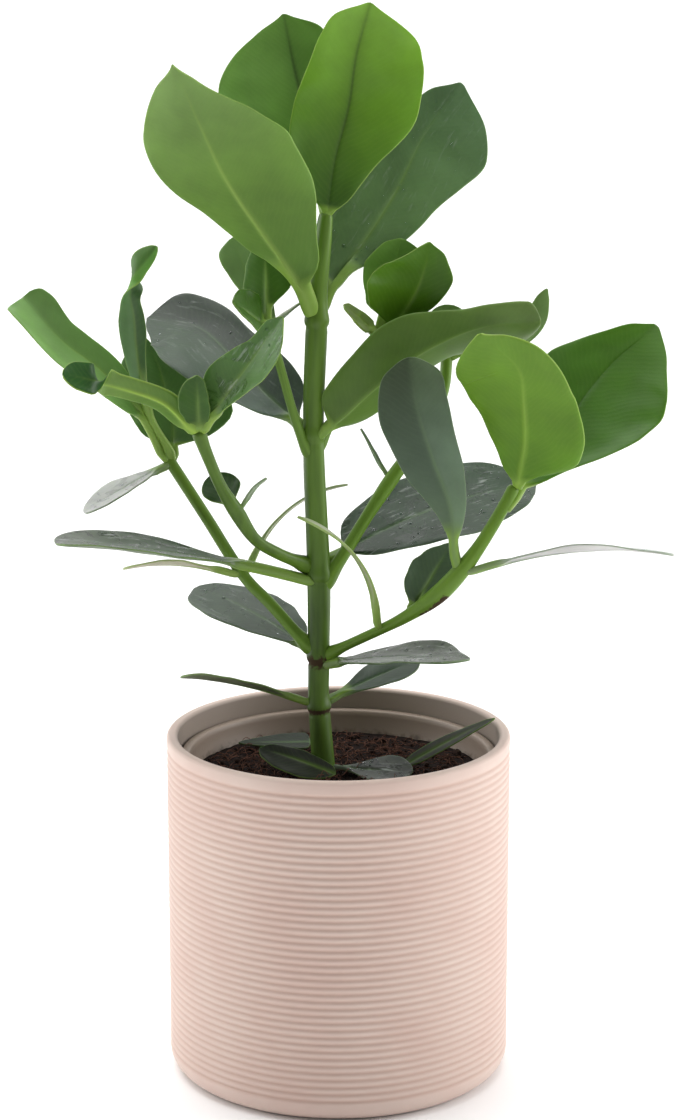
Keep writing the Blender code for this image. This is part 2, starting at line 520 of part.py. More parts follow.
def build_leaf(leaf, joints, collection, materials):
    """One leaf: a grid moved onto the leaf's surface and given its thickness."""
    place, radius = joints[leaf.grows_from]
    start = place + (Vector(leaf.tip) - place).normalized() * (radius + leaf.clear)
    foot = leaf.back / (Vector(leaf.tip) - start).length
    shape = bmesh.new()
    bmesh.ops.create_grid(shape, x_segments=LEAF_STEPS, y_segments=LEAF_LANES, size=0.5)
    for vert in shape.verts:
        along = (vert.co.x + 0.5) * (1.0 + foot) - foot
        vert.co = leaf_point(leaf, start, along, vert.co.y * 2.0) * MM
    bmesh.ops.remove_doubles(shape, verts=shape.verts, dist=0.05 * MM)
    mesh = bpy.data.meshes.new(leaf.name)
    shape.to_mesh(mesh)
    shape.free()
    mesh.shade_smooth()
    obj = add_object(leaf.name, mesh, collection, materials[leaf.tone])
    thicken = obj.modifiers.new("Thickness", "SOLIDIFY")
    thicken.thickness = LEAF_THICK * MM
    thicken.offset = 0.0
    return obj


def main():
    """Builds the pots, the soil, the stems and the leaves."""
    clear_scene()
    collection = make_collection("potted_clusia")
    cutters = make_collection("cutters")
    materials = make_materials()
    build_cover_pot(collection, materials)
    build_grow_pot(collection, cutters, materials)
    build_soil(collection, materials)
    joints = build_stems(collection, materials)
    for leaf in LEAVES:
        build_leaf(leaf, joints, collection, materials)


main()
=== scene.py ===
"""The looks of a potted clusia: leaves, wood, soil, grow pot and ribbed cover pot.

Metres, +Z up, the origin at the middle of the pot's foot, -Y the plant's front. Sizes that a
grower or a potter would measure are given in millimetres and turned to metres by MM.
"""

import logging
import math
import random
from collections.abc import Callable, Iterable, Sequence
from dataclasses import dataclass, field, replace
from enum import Enum

import bpy
from mathutils import Matrix, Vector, noise

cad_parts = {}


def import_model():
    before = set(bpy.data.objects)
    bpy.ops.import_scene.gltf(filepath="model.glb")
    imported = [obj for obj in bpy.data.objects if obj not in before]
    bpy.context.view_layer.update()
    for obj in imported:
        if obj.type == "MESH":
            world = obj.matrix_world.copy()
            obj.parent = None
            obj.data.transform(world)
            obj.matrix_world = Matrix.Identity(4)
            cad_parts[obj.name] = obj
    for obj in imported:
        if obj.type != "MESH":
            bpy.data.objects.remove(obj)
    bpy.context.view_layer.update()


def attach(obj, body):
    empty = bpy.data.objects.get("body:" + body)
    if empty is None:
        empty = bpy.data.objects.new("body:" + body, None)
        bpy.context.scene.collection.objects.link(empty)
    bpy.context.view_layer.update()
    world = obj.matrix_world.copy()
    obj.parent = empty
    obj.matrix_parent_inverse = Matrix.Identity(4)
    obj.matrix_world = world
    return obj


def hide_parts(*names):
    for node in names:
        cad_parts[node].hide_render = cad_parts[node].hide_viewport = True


MM = 0.001
FULL_TURN = 2.0 * math.pi
SEAM = 0.01 * MM                        # points nearer than this are one point
BODY = "root"
LOG = logging.getLogger("potted_clusia")

Colour = tuple[float, float, float, float]
Marks = dict[str, float | Colour]       # what a finish reads at a point of the surface
Placing = Callable[[float, float], tuple[Vector, Marks]]    # gives the point in millimetres
Faces = list[tuple[int, ...]]           # for each face, the indices of its corners
Place = tuple[float, float, float]
Socket = bpy.types.NodeSocket
Feed = float | tuple[float, ...] | Socket       # what an input takes: a constant or a link


# ----------------------------------------------------------------------------- shared tools


def colour(code: str) -> Colour:
    """Turns an sRGB hex code into a linear colour.

    Args:
        code: six hex digits, such as "7a9a3c".

    Returns:
        Red, green, blue and an alpha of 1.
    """
    values = [int(code[start:start + 2], 16) / 255.0 for start in (0, 2, 4)]
    linear = [v / 12.92 if v <= 0.04045 else ((v + 0.055) / 1.055) ** 2.4 for v in values]
    return (linear[0], linear[1], linear[2], 1.0)


def add_node(tree: bpy.types.NodeTree, kind: str, inputs: dict | None = None,
             **settings: object) -> bpy.types.Node:
    """Adds a node with its settings, input values and links.

    Args:
        tree: the material's node tree.
        kind: the node's type name.
        inputs: socket name or index to a value, or to the output socket that feeds it.
        settings: the node's own properties.

    Returns:
        The new node.
    """
    node = tree.nodes.new(kind)
    for name, value in settings.items():
        setattr(node, name, value)
    for socket, value in (inputs or {}).items():
        if isinstance(value, bpy.types.NodeSocket):
            tree.links.new(value, node.inputs[socket])
        else:
            node.inputs[socket].default_value = value
    return node


class Coat:
    """A node material under way, with a method for each kind of node that finishes share."""

    def __init__(self, name: str) -> None:
        """Makes an empty material with an output node.

        Args:
            name: the material's name.
        """
        self.material = bpy.data.materials.new(name)
        self.material.use_nodes = True
        self.tree = self.material.node_tree
        self.tree.nodes.clear()
        self.out = add_node(self.tree, "ShaderNodeOutputMaterial", name="out")

    def mark(self, key: str, output: str = "Fac") -> Socket:
        """Reads an attribute of the surface's points."""
        return add_node(self.tree, "ShaderNodeAttribute", attribute_name=key).outputs[output]

    def place(self) -> Socket:
        """Gives where a point of the surface lies, in metres."""
        return add_node(self.tree, "ShaderNodeTexCoord").outputs["Object"]

    def cloud(self, vector: Socket, size: float, **inputs: float) -> Socket:
        """Adds noise whose clouds have a size in millimetres, with the node's other inputs."""
        return add_node(self.tree, "ShaderNodeTexNoise",
                        {"Vector": vector, "Scale": 1.0 / (size * MM), **inputs}).outputs["Fac"]

    def stretch(self, vector: Socket, scale: Place) -> Socket:
        """Scales a vector along each axis."""
        return add_node(self.tree, "ShaderNodeMapping",
                        {"Vector": vector, "Scale": scale}).outputs[0]

    def fit(self, value: Socket, low: float = 0.0, high: float = 1.0, to_low: float = 0.0,
            to_high: Feed = 1.0) -> Socket:
        """Takes a value from one span to another and keeps it inside."""
        return add_node(self.tree, "ShaderNodeMapRange",
                        {"Value": value, "From Min": low, "From Max": high, "To Min": to_low,
                         "To Max": to_high}).outputs[0]

    def reckon(self, operation: str, *values: Feed) -> Socket:
        """Works out a value with one of the maths node's operations."""
        return add_node(self.tree, "ShaderNodeMath", dict(enumerate(values)),
                        operation=operation).outputs[0]

    def mix(self, share: Socket, first: Feed, second: Feed) -> Socket:
        """Mixes two colours; the share is the second one's."""
        return add_node(self.tree, "ShaderNodeMix",
                        {"Factor": share, "A": first, "B": second},
                        data_type="RGBA").outputs["Result"]

    def dim(self, tint: Socket, value: Socket) -> Socket:
        """Makes a colour darker below 1 and lighter above it."""
        return add_node(self.tree, "ShaderNodeHueSaturation",
                        {"Color": tint, "Value": value}).outputs[0]

    def relief(self, height: Socket, strength: float, depth: float) -> Socket:
        """Turns a height into a normal; the depth is in millimetres."""
        return add_node(self.tree, "ShaderNodeBump",
                        {"Height": height, "Strength": strength,
                         "Distance": depth * MM}).outputs[0]

    def finish(self, tint: Feed, roughness: Feed, inputs: dict[str, Feed]) -> bpy.types.Material:
        """Adds the shader and links it to the output.

        Args:
            tint: the surface's colour.
            roughness: from 0, polished, to 1, matt.
            inputs: the shader's other inputs.

        Returns:
            The material.
        """
        shader = add_node(self.tree, "ShaderNodeBsdfPrincipled",
                          {"Base Color": tint, "Roughness": roughness, **inputs})
        self.tree.links.new(shader.outputs[0], self.out.inputs["Surface"])
        return self.material


def between(stops: Sequence, index: int, t: float) -> float | Vector:
    """Gives a point of the smooth curve through numbers or vectors.

    Args:
        stops: what the curve runs through.
        index: the stop before the point.
        t: from 0 at that stop to 1 at the next.

    Returns:
        A number or a vector, like the stops.
    """
    before, here = stops[max(index - 1, 0)], stops[index]
    after, beyond = stops[index + 1], stops[min(index + 2, len(stops) - 1)]
    return 0.5 * ((2.0 * here) + (after - before) * t
                  + (2.0 * before - 5.0 * here + 4.0 * after - beyond) * t ** 2
                  + (3.0 * here - before - 3.0 * after + beyond) * t ** 3)


def smooth_line(points: Sequence[Vector], cuts: int) -> list[Vector]:
    """Gives points of a smooth curve, so many to each stretch between two given points."""
    line = [between(points, index, cut / cuts)
            for index in range(len(points) - 1) for cut in range(cuts)]
    return line + [points[-1].copy()]


def along_curve(values: Sequence[float], share: float) -> float:
    """Reads a smooth curve through values that stand at even steps from 0 to 1."""
    place = min(1.0, max(0.0, share)) * (len(values) - 1)
    index = min(int(place), len(values) - 2)
    return between(values, index, place - index)


def bump(value: float, middle: float, width: float) -> float:
    """A smooth bump of height 1 round a middle, about twice its width across."""
    return math.exp(-((value - middle) / width) ** 2)


def ease(value: float, low: float, high: float) -> float:
    """Rises smoothly from 0 at low to 1 at high."""
    t = min(1.0, max(0.0, (value - low) / (high - low)))
    return t * t * (3.0 - 2.0 * t)


def round_axis(radius: float, angle: float, height: float) -> Vector:
    """Gives the point at an angle round the pot's axis."""
    return Vector((radius * math.cos(angle), radius * math.sin(angle), height))


def primitive(kind: str, **settings: object) -> bpy.types.Object:
    """Adds one of Blender's own shapes.

    Args:
        kind: such as "grid" or "cylinder".
        settings: what the shape's operator takes.

    Returns:
        The new object.
    """
    bpy.ops.object.select_all(action="DESELECT")
    getattr(bpy.ops.mesh, f"primitive_{kind}_add")(**settings)
    return bpy.context.object


def template(kind: str, **settings: object) -> tuple[list[Vector], Faces]:
    """Gives the corners and faces of one of Blender's own shapes, for small things in numbers.

    Blender doesn't give them in the same order each time, so each face is turned to start at its
    lowest corner, and the faces are sorted.
    """
    shape = primitive(kind, **settings)
    corners = [vertex.co.copy() for vertex in shape.data.vertices]
    faces = []
    for face in shape.data.polygons:
        ring = list(face.vertices)
        start = ring.index(min(ring))
        faces.append(tuple(ring[start:] + ring[:start]))
    bpy.data.objects.remove(shape, do_unlink=True)
    return corners, sorted(faces)


def wrapped_grid(name: str, around: int, along: int, place: Placing) -> bpy.types.Object:
    """Adds a grid, lays it on a surface, closes its seams and turns its faces outwards.

    Args:
        name: the piece's name.
        around: faces across the surface, or round it.
        along: faces along it.
        place: gives the point and attributes for u and v, both from 0 to 1.

    Returns:
        The piece, with its object at the origin and its place in its mesh.
    """
    piece = primitive("grid", x_subdivisions=around, y_subdivisions=along, size=1.0)
    piece.name = name
    mesh = piece.data
    mesh.name = name
    numbers: dict[str, list[float]] = {}
    tints: dict[str, list[float]] = {}
    for vertex in mesh.vertices:
        point, marks = place(vertex.co.x + 0.5, vertex.co.y + 0.5)
        vertex.co = point * MM
        for key, value in marks.items():
            if isinstance(value, tuple):
                tints.setdefault(key, []).extend(value)
            else:
                numbers.setdefault(key, []).append(value)
    for kind, part, lists in (("FLOAT", "value", numbers), ("FLOAT_COLOR", "color", tints)):
        for key, values in lists.items():
            mesh.attributes.new(key, kind, "POINT").data.foreach_set(part, values)
    bpy.ops.object.mode_set(mode="EDIT")
    bpy.ops.mesh.select_all(action="SELECT")
    bpy.ops.mesh.remove_doubles(threshold=SEAM)
    bpy.ops.mesh.normals_make_consistent(inside=False)
    bpy.ops.object.mode_set(mode="OBJECT")
    mesh.shade_smooth()
    return piece


def finish_piece(piece: bpy.types.Object, material: bpy.types.Material, slot: str,
                 *nodes: str) -> None:
    """Finishes a piece, makes it ride on the plant's body and stand for CAD nodes, and reports it.

    Args:
        piece: the piece.
        material: what it is made of.
        slot: the look's name, which pieces of one material share. It is not used.
        nodes: the CAD nodes that it replaces, if any.
    """
    piece.data.materials.append(material)
    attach(piece, BODY)
    if nodes:
        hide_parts(*nodes)
    LOG.info("%s: %d faces", piece.name, len(piece.data.polygons))


# ------------------------------------------------------------------------------- finishes


class Tone(Enum):
    """Ages and lights of a clusia leaf, from the newest to the oldest."""

    YOUNG = "leaf_young"
    GREEN = "leaf_green"
    DEEP = "leaf_deep"
    GREY = "leaf_grey"


@dataclass(frozen=True)
class LeafFinish:
    """Waxed cuticle of a living leaf: leathery, satin, with a pale midrib and margin.

    The upper side is glossier than the under side. Both carry faint side veins that leave the
    midrib at a slant, soft mottling and a thin pale edge. Where it was watered, a film of
    water darkens the upper side, and pale streaks of painted glare stand for its shine.
    """

    tone: Tone
    upper: str                      # colour of a leaf that names none of its own
    under: str
    rib: str
    margin: str
    roughness: float

    stalk: str = "7c9c3e"
    # painted glare: pale colour painted in streaks over the wet film, standing for its reflection
    painted_glare: str = "c6ccc8"
    shine: float = 0.32             # how much of the wax's full reflection shows
    dull: bool = False              # a fallen leaf, whose wax no longer shines
    vein_gap: float = 2.6           # millimetres between side veins
    vein_slant: float = 0.9         # how far a vein runs forward for each millimetre outwards
    vein_wander: float = 9.0        # how far the mottling bends it
    mottle_size: float = 16.0       # millimetres
    grain_size: float = 0.9         # millimetres
    streak_size: float = 7.0        # millimetres

    def make(self) -> bpy.types.Material:
        """Builds the node material.

        Returns:
            The material, named for the leaf's age.
        """
        state = "fallen" if self.dull else "living"
        coat = Coat(f"clusia_cuticle_{self.tone.name.lower()}_{state}")
        keys = ("upper", "across_mm", "edge_mm", "along_mm", "rib_mm", "wet")
        upper, across, edge, along, rib, watered = [coat.mark(key) for key in keys]
        tint = coat.mark("tint", "Color")
        place = coat.place()
        cloud = coat.cloud(place, self.mottle_size, Detail=5.0, Roughness=0.55)
        grain = coat.cloud(place, self.grain_size, Detail=3.0)
        mottled = coat.dim(tint, coat.fit(cloud, 0.3, 0.7, 0.86, 1.14))

        slanted = coat.reckon("MULTIPLY_ADD", coat.reckon("ABSOLUTE", across), -self.vein_slant,
                              along)
        wander = coat.reckon("MULTIPLY_ADD", cloud, self.vein_wander, slanted)
        wave = coat.reckon("SINE", coat.reckon("MULTIPLY", wander, FULL_TURN / self.vein_gap))
        veined = coat.mix(coat.fit(wave, 0.2, 1.0, 0.0, 0.035), mottled, colour(self.rib))
        ribbed = coat.mix(rib, veined, colour(self.rib))
        edged = coat.mix(coat.fit(edge, 0.1, 0.5, 0.6, 0.0), ribbed, colour(self.margin))

        film = coat.cloud(place, self.streak_size, Detail=6.0, Roughness=0.6, Distortion=0.8)
        wet = coat.reckon("MULTIPLY", coat.fit(film, 0.52, 0.6), watered)
        damp = coat.dim(edged, coat.fit(wet, to_low=1.0, to_high=0.6))
        # Painted glare: pale streaks painted along the leaf where the film lies, standing for the
        # reflection on the wet film.
        strand = add_node(coat.tree, "ShaderNodeCombineXYZ", {"X": along, "Y": across}).outputs[0]
        runs = coat.cloud(coat.stretch(strand, (0.07, 0.55, 1.0)), 1.0 / MM, Detail=3.0,
                          Roughness=0.6, Distortion=0.4)
        glare_streaks = coat.fit(runs, 0.56, 0.72, to_high=0.8)
        painted_glare_mask = coat.fit(film, 0.42, 0.6, to_high=glare_streaks)
        skin = coat.mix(coat.reckon("MULTIPLY", painted_glare_mask, watered), damp, colour(self.painted_glare))

        veins = coat.reckon("MULTIPLY_ADD", wave, 0.25, grain)
        relief = coat.relief(coat.reckon("MULTIPLY_ADD", wet, 3.0, veins), 0.35, 0.06)
        gloss = coat.fit(upper, to_low=self.roughness + 0.12, to_high=self.roughness)
        return coat.finish(skin, coat.reckon("MULTIPLY_ADD", wet, -0.24, gloss),
                           {"Normal": relief, "IOR": 1.45,
                            "Specular IOR Level": 0.06 if self.dull else self.shine,
                            "Subsurface Weight": 0.12, "Subsurface Radius": (0.4, 1.0, 0.2),
                            "Subsurface Scale": 1.5 * MM})


LEAF_FINISHES = {finish.tone: finish for finish in (
    LeafFinish(Tone.YOUNG, "5f8c1e", "6a8e2e", "8fae46", "93ab4c", 0.40),
    LeafFinish(Tone.GREEN, "44761e", "587c2c", "7d9a44", "869f4c", 0.40),
    LeafFinish(Tone.DEEP, "36581f", "4a6828", "6c8a3e", "6f8a46", 0.40),
    LeafFinish(Tone.GREY, "2c3f2c", "405830", "667e58", "6f8060", 0.34, shine=0.18),
)}


@dataclass(frozen=True)
class GreenWood:
    """Skin of a young clusia stem: smooth, green, with pale streaks and cork where it aged."""

    old: str = "2c430f"
    young: str = "64862a"
    streak: str = "5c7c2a"
    cork: str = "3a2c1a"
    streak_size: float = 5.0        # millimetres across, stretched along the stem
    speck_size: float = 1.1         # millimetres

    def make(self) -> bpy.types.Material:
        """Builds the node material.

        Returns:
            The material of the stem and its branches.
        """
        coat = Coat("green_stem_bark")
        cork, fresh = coat.mark("cork"), coat.mark("fresh")
        place = coat.place()
        streaks = coat.cloud(coat.stretch(place, (1.0, 1.0, 0.12)), self.streak_size, Detail=5.0)
        specks = coat.cloud(place, self.speck_size, Detail=2.0)
        # The fresh mark carries the wood's age together with painted light on the limbs' right
        # sides.
        base = coat.mix(fresh, colour(self.old), colour(self.young))
        spread = coat.fit(streaks, 0.35, 0.7, to_high=0.6)
        streaked = coat.mix(spread, base, colour(self.streak))
        ragged = coat.reckon("MULTIPLY_ADD", specks, 0.9, -0.45)
        share = coat.fit(coat.reckon("ADD", ragged, cork), 0.35, 0.65)
        skin = coat.mix(share, streaked, colour(self.cork))
        return coat.finish(skin, coat.fit(share, to_low=0.42, to_high=0.85),
                           {"Normal": coat.relief(streaks, 0.4, 0.3), "IOR": 1.45,
                            "Specular IOR Level": 0.3})


@dataclass(frozen=True)
class MattCeramic:
    """Earthenware under a matt rose-beige engobe: chalky, a little cloudy, with painted shade in
    the grooves and inside the pot.
    """

    body: str = "d1b8ad"
    cloud: str = "d5c0b5"
    # painted shade: the grooves are tinted towards this colour
    groove: str = "c0a092"
    # painted shade: the inside of the pot and its inner lip take this darker colour
    inside: str = "988a7f"
    cloud_size: float = 28.0        # millimetres
    dust_size: float = 0.6          # millimetres

    def make(self) -> bpy.types.Material:
        """Builds the node material.

        Returns:
            The material of the cover pot.
        """
        coat = Coat("matt_engobe_earthenware")
        groove, inside = coat.mark("groove"), coat.mark("inside")
        place = coat.place()
        clouds = coat.cloud(place, self.cloud_size, Detail=4.0)
        dust = coat.cloud(place, self.dust_size, Detail=3.0)
        body = coat.mix(coat.fit(clouds, 0.35, 0.65), colour(self.body), colour(self.cloud))
        # Painted shade: darker in the grooves.
        groove_shaded = coat.mix(coat.reckon("MULTIPLY", groove, 0.75), body, colour(self.groove))
        # Painted shade: darker inside the pot and over the lip.
        return coat.finish(coat.mix(inside, groove_shaded, colour(self.inside)), 0.62,
                           {"Normal": coat.relief(dust, 0.25, 0.1), "IOR": 1.5,
                            "Sheen Weight": 0.1, "Sheen Roughness": 0.4})


@dataclass(frozen=True)
class MouldedPlastic:
    """Thin polypropylene of a nursery pot: taupe, satin, faintly scuffed, and darker in patches
    below the rim.
    """

    body: str = "948376"
    # colour of the darker patches below the rim
    dust: str = "4a3c30"
    scuff_size: float = 3.0         # millimetres

    def make(self) -> bpy.types.Material:
        """Builds the node material.

        Returns:
            The material of the grow pot.
        """
        coat = Coat("taupe_polypropylene")
        below_rim_darkening = coat.mark("below_rim_darkening")
        scuffs = coat.cloud(coat.place(), self.scuff_size, Detail=6.0)
        shade = coat.fit(coat.reckon("MULTIPLY", scuffs, below_rim_darkening), 0.3, 0.6)
        return coat.finish(coat.mix(shade, colour(self.body), colour(self.dust)),
                           coat.fit(scuffs, to_low=0.38, to_high=0.55),
                           {"Normal": coat.relief(scuffs, 0.1, 0.1), "IOR": 1.49})


@dataclass(frozen=True)
class Peat:
    """Damp peat and coir: nearly black, rough, with reddish brown fibres."""

    name: str
    dark: str
    light: str
    grain: float                    # millimetres

    def make(self) -> bpy.types.Material:
        """Builds the node material.

        Returns:
            The material of the soil, its crumbs or its fibres.
        """
        coat = Coat(self.name)
        lumps = coat.cloud(coat.place(), self.grain, Detail=6.0, Roughness=0.7)
        body = coat.mix(coat.fit(lumps, 0.42, 0.72), colour(self.dark), colour(self.light))
        return coat.finish(body, 0.9, {"Normal": coat.relief(lumps, 0.9, 0.8), "IOR": 1.4,
                                       "Specular IOR Level": 0.15})


def clear_water() -> bpy.types.Material:
    """Makes still water in small drops: clear, with a sharp highlight."""
    return Coat("clear_water").finish(colour("f4fbff"), 0.03,
                                      {"IOR": 1.33, "Transmission Weight": 1.0})


def pale_paper() -> bpy.types.Material:
    """Makes the floor's matt white."""
    return Coat("pale_paper").finish(colour("fbfbfb"), 0.8, {})


# ---------------------------------------------------------------------------------- pots


@dataclass
class CoverPot:
    """The ribbed ceramic cylinder that the plant stands in."""

    radius: float = 70.0
    height: float = 141.5
    wall: float = 4.5
    floor: float = 9.0
    floor_round: float = 5.0        # radius of the corner between floor and wall
    lip: float = 1.5                # radius of the lip's two edges
    foot_round: float = 8.0
    rib_gap: float = 3.0
    rib_depth: float = 0.5
    rib_top: float = 137.0
    rib_count: int = 43
    rib_steps: int = 7              # rings of points from one groove to the next
    rib_round: float = 1.3          # larger makes rounder ribs and narrower grooves
    rib_fade: tuple[float, float] = (3.0, 8.0)      # heights between which the ribs begin
    steps: int = 168

    def profile(self) -> list[tuple[float, float, float, float]]:
        """Radius, height, depth in a groove and share of the inside's painted shade, from floor to
        foot.
        """
        inner = self.radius - self.wall
        bend = self.floor_round
        line = [(radius, self.floor, 0.0, 1.0) for radius in (0.0, 30.0, inner - bend)]
        for step in range(1, 7):
            angle = math.radians(15.0 * step)
            line.append((inner - bend + bend * math.sin(angle),
                         self.floor + bend - bend * math.cos(angle), 0.0, 1.0))
        line += [(inner, height, 0.0, 1.0) for height in (40.0, 70.0, 100.0, 118.0, 128.0)]
        lip_z = self.height - self.lip
        # Painted shade: the inside's darker colour fades across the inner lip, and more weakly over
        # the outer lip.
        for step in range(9):
            angle = math.radians(180.0 - 11.25 * step)
            line.append((inner + self.lip + self.lip * math.cos(angle),
                         lip_z + self.lip * math.sin(angle), 0.0, 1.0 - 0.08 * step))
        for step in range(9):
            angle = math.radians(90.0 - 11.25 * step)
            line.append((self.radius - self.lip + self.lip * math.cos(angle),
                         lip_z + self.lip * math.sin(angle), 0.0, 0.35 - 0.03 * step))
        for step in range(self.rib_count * self.rib_steps + 1):
            turn = step / self.rib_steps
            depth = (0.5 - 0.5 * math.cos(FULL_TURN * turn)) ** self.rib_round
            z = self.rib_top - self.rib_gap * turn
            fade = ease(z, *self.rib_fade)
            corner = max(0.0, self.foot_round - z)
            wall = self.radius - self.foot_round
            wall += math.sqrt(max(0.0, self.foot_round ** 2 - corner ** 2))
            line.append((wall - self.rib_depth * depth * fade, z, depth * fade, 0.0))
        last = line[-1][1]
        start = math.acos((self.foot_round - last) / self.foot_round)
        for step in range(1, 7):
            angle = start * (1.0 - step / 6)
            line.append((self.radius - self.foot_round + self.foot_round * math.sin(angle),
                         self.foot_round - self.foot_round * math.cos(angle), 0.0, 0.0))
        line += [(40.0, 0.0, 0.0, 0.0), (0.0, 0.0, 0.0, 0.0)]
        return line

    def build(self) -> bpy.types.Object:
        """Turns the profile round the pot's axis.

        Returns:
            The pot.
        """
        line = self.profile()

        def place(u: float, v: float) -> tuple[Vector, Marks]:
            """A point of the pot's skin."""
            radius, height, groove, inside = line[round(v * (len(line) - 1))]
            return round_axis(radius, FULL_TURN * u, height), {"groove": groove, "inside": inside}

        return wrapped_grid("ribbed_cover_pot", self.steps, len(line) - 1, place)

    def dress(self, piece: bpy.types.Object) -> None:
        """Gives the pot its engobe."""
        finish_piece(piece, MattCeramic().make(), "pot_ceramic", "cover_pot")


@dataclass
class GrowPot:
    """The tapering plastic pot inside, with its rolled rim and stepped band."""

    rim_z: float = 133.0
    rim_radius: float = 64.3
    top_radius: float = 61.5
    foot_radius: float = 47.0
    foot_z: float = 9.4
    wall: float = 1.5
    band: float = 9.0
    steps: int = 144
    drains: int = 5
    drain_radius: float = 4.0
    drain_ring: float = 30.0

    def profile(self) -> list[tuple[float, float]]:
        """Radius and height of the section, from the floor's middle up, over and down."""
        inner = self.top_radius - self.wall
        rim = self.rim_z
        floor = self.foot_z + self.wall
        band = rim - self.band
        inside = [(0.0, floor), (self.foot_radius - 4.0, floor),
                  (self.foot_radius - 2.5, floor + 0.4), (inner - 4.0, 90.0),
                  (inner - 0.2, band), (inner + 0.3, band + 0.8), (inner + 0.5, rim - 2.5),
                  (inner + 0.7, rim - 0.8), (inner + 1.1, rim - 0.2), (inner + 1.6, rim)]
        rolled = [(self.rim_radius - 0.6, rim), (self.rim_radius - 0.15, rim - 0.2),
                  (self.rim_radius, rim - 0.6), (self.rim_radius, rim - 2.5)]
        outside = [(self.top_radius + 0.6, rim - 2.5), (self.top_radius, band),
                   (self.foot_radius, self.foot_z + 1.0),
                   (self.foot_radius - 1.0, self.foot_z), (0.0, self.foot_z)]
        return inside + rolled + outside

    def build(self) -> bpy.types.Object:
        """Turns the section and drills the drainage holes.

        Returns:
            The grow pot.
        """
        line = self.profile()

        def place(u: float, v: float) -> tuple[Vector, Marks]:
            """A point of the grow pot's skin."""
            radius, height = line[round(v * (len(line) - 1))]
            # Darker in patches from 3 mm below the rim, fully from 12 mm down.
            below_rim_darkening = ease(self.rim_z - height, 3.0, 12.0)
            return round_axis(radius, FULL_TURN * u, height), {"below_rim_darkening": below_rim_darkening}

        pot = wrapped_grid("taupe_grow_pot", self.steps, len(line) - 1, place)
        for index in range(self.drains):
            angle = FULL_TURN * index / self.drains
            middle = Vector((math.cos(angle), math.sin(angle), 0.0)) * self.drain_ring
            middle += Vector((0.0, 0.0, self.foot_z))
            drill = primitive("cylinder", vertices=24, radius=self.drain_radius * MM,
                              depth=6.0 * self.wall * MM, location=middle * MM)
            bpy.context.view_layer.objects.active = pot
            cut = pot.modifiers.new("Drain", "BOOLEAN")
            cut.object = drill
            bpy.ops.object.modifier_apply(modifier=cut.name)
            bpy.data.objects.remove(drill, do_unlink=True)
        return pot

    def dress(self, piece: bpy.types.Object) -> None:
        """Gives the grow pot its plastic."""
        finish_piece(piece, MouldedPlastic().make(), "grow_pot_plastic", "grow_pot")


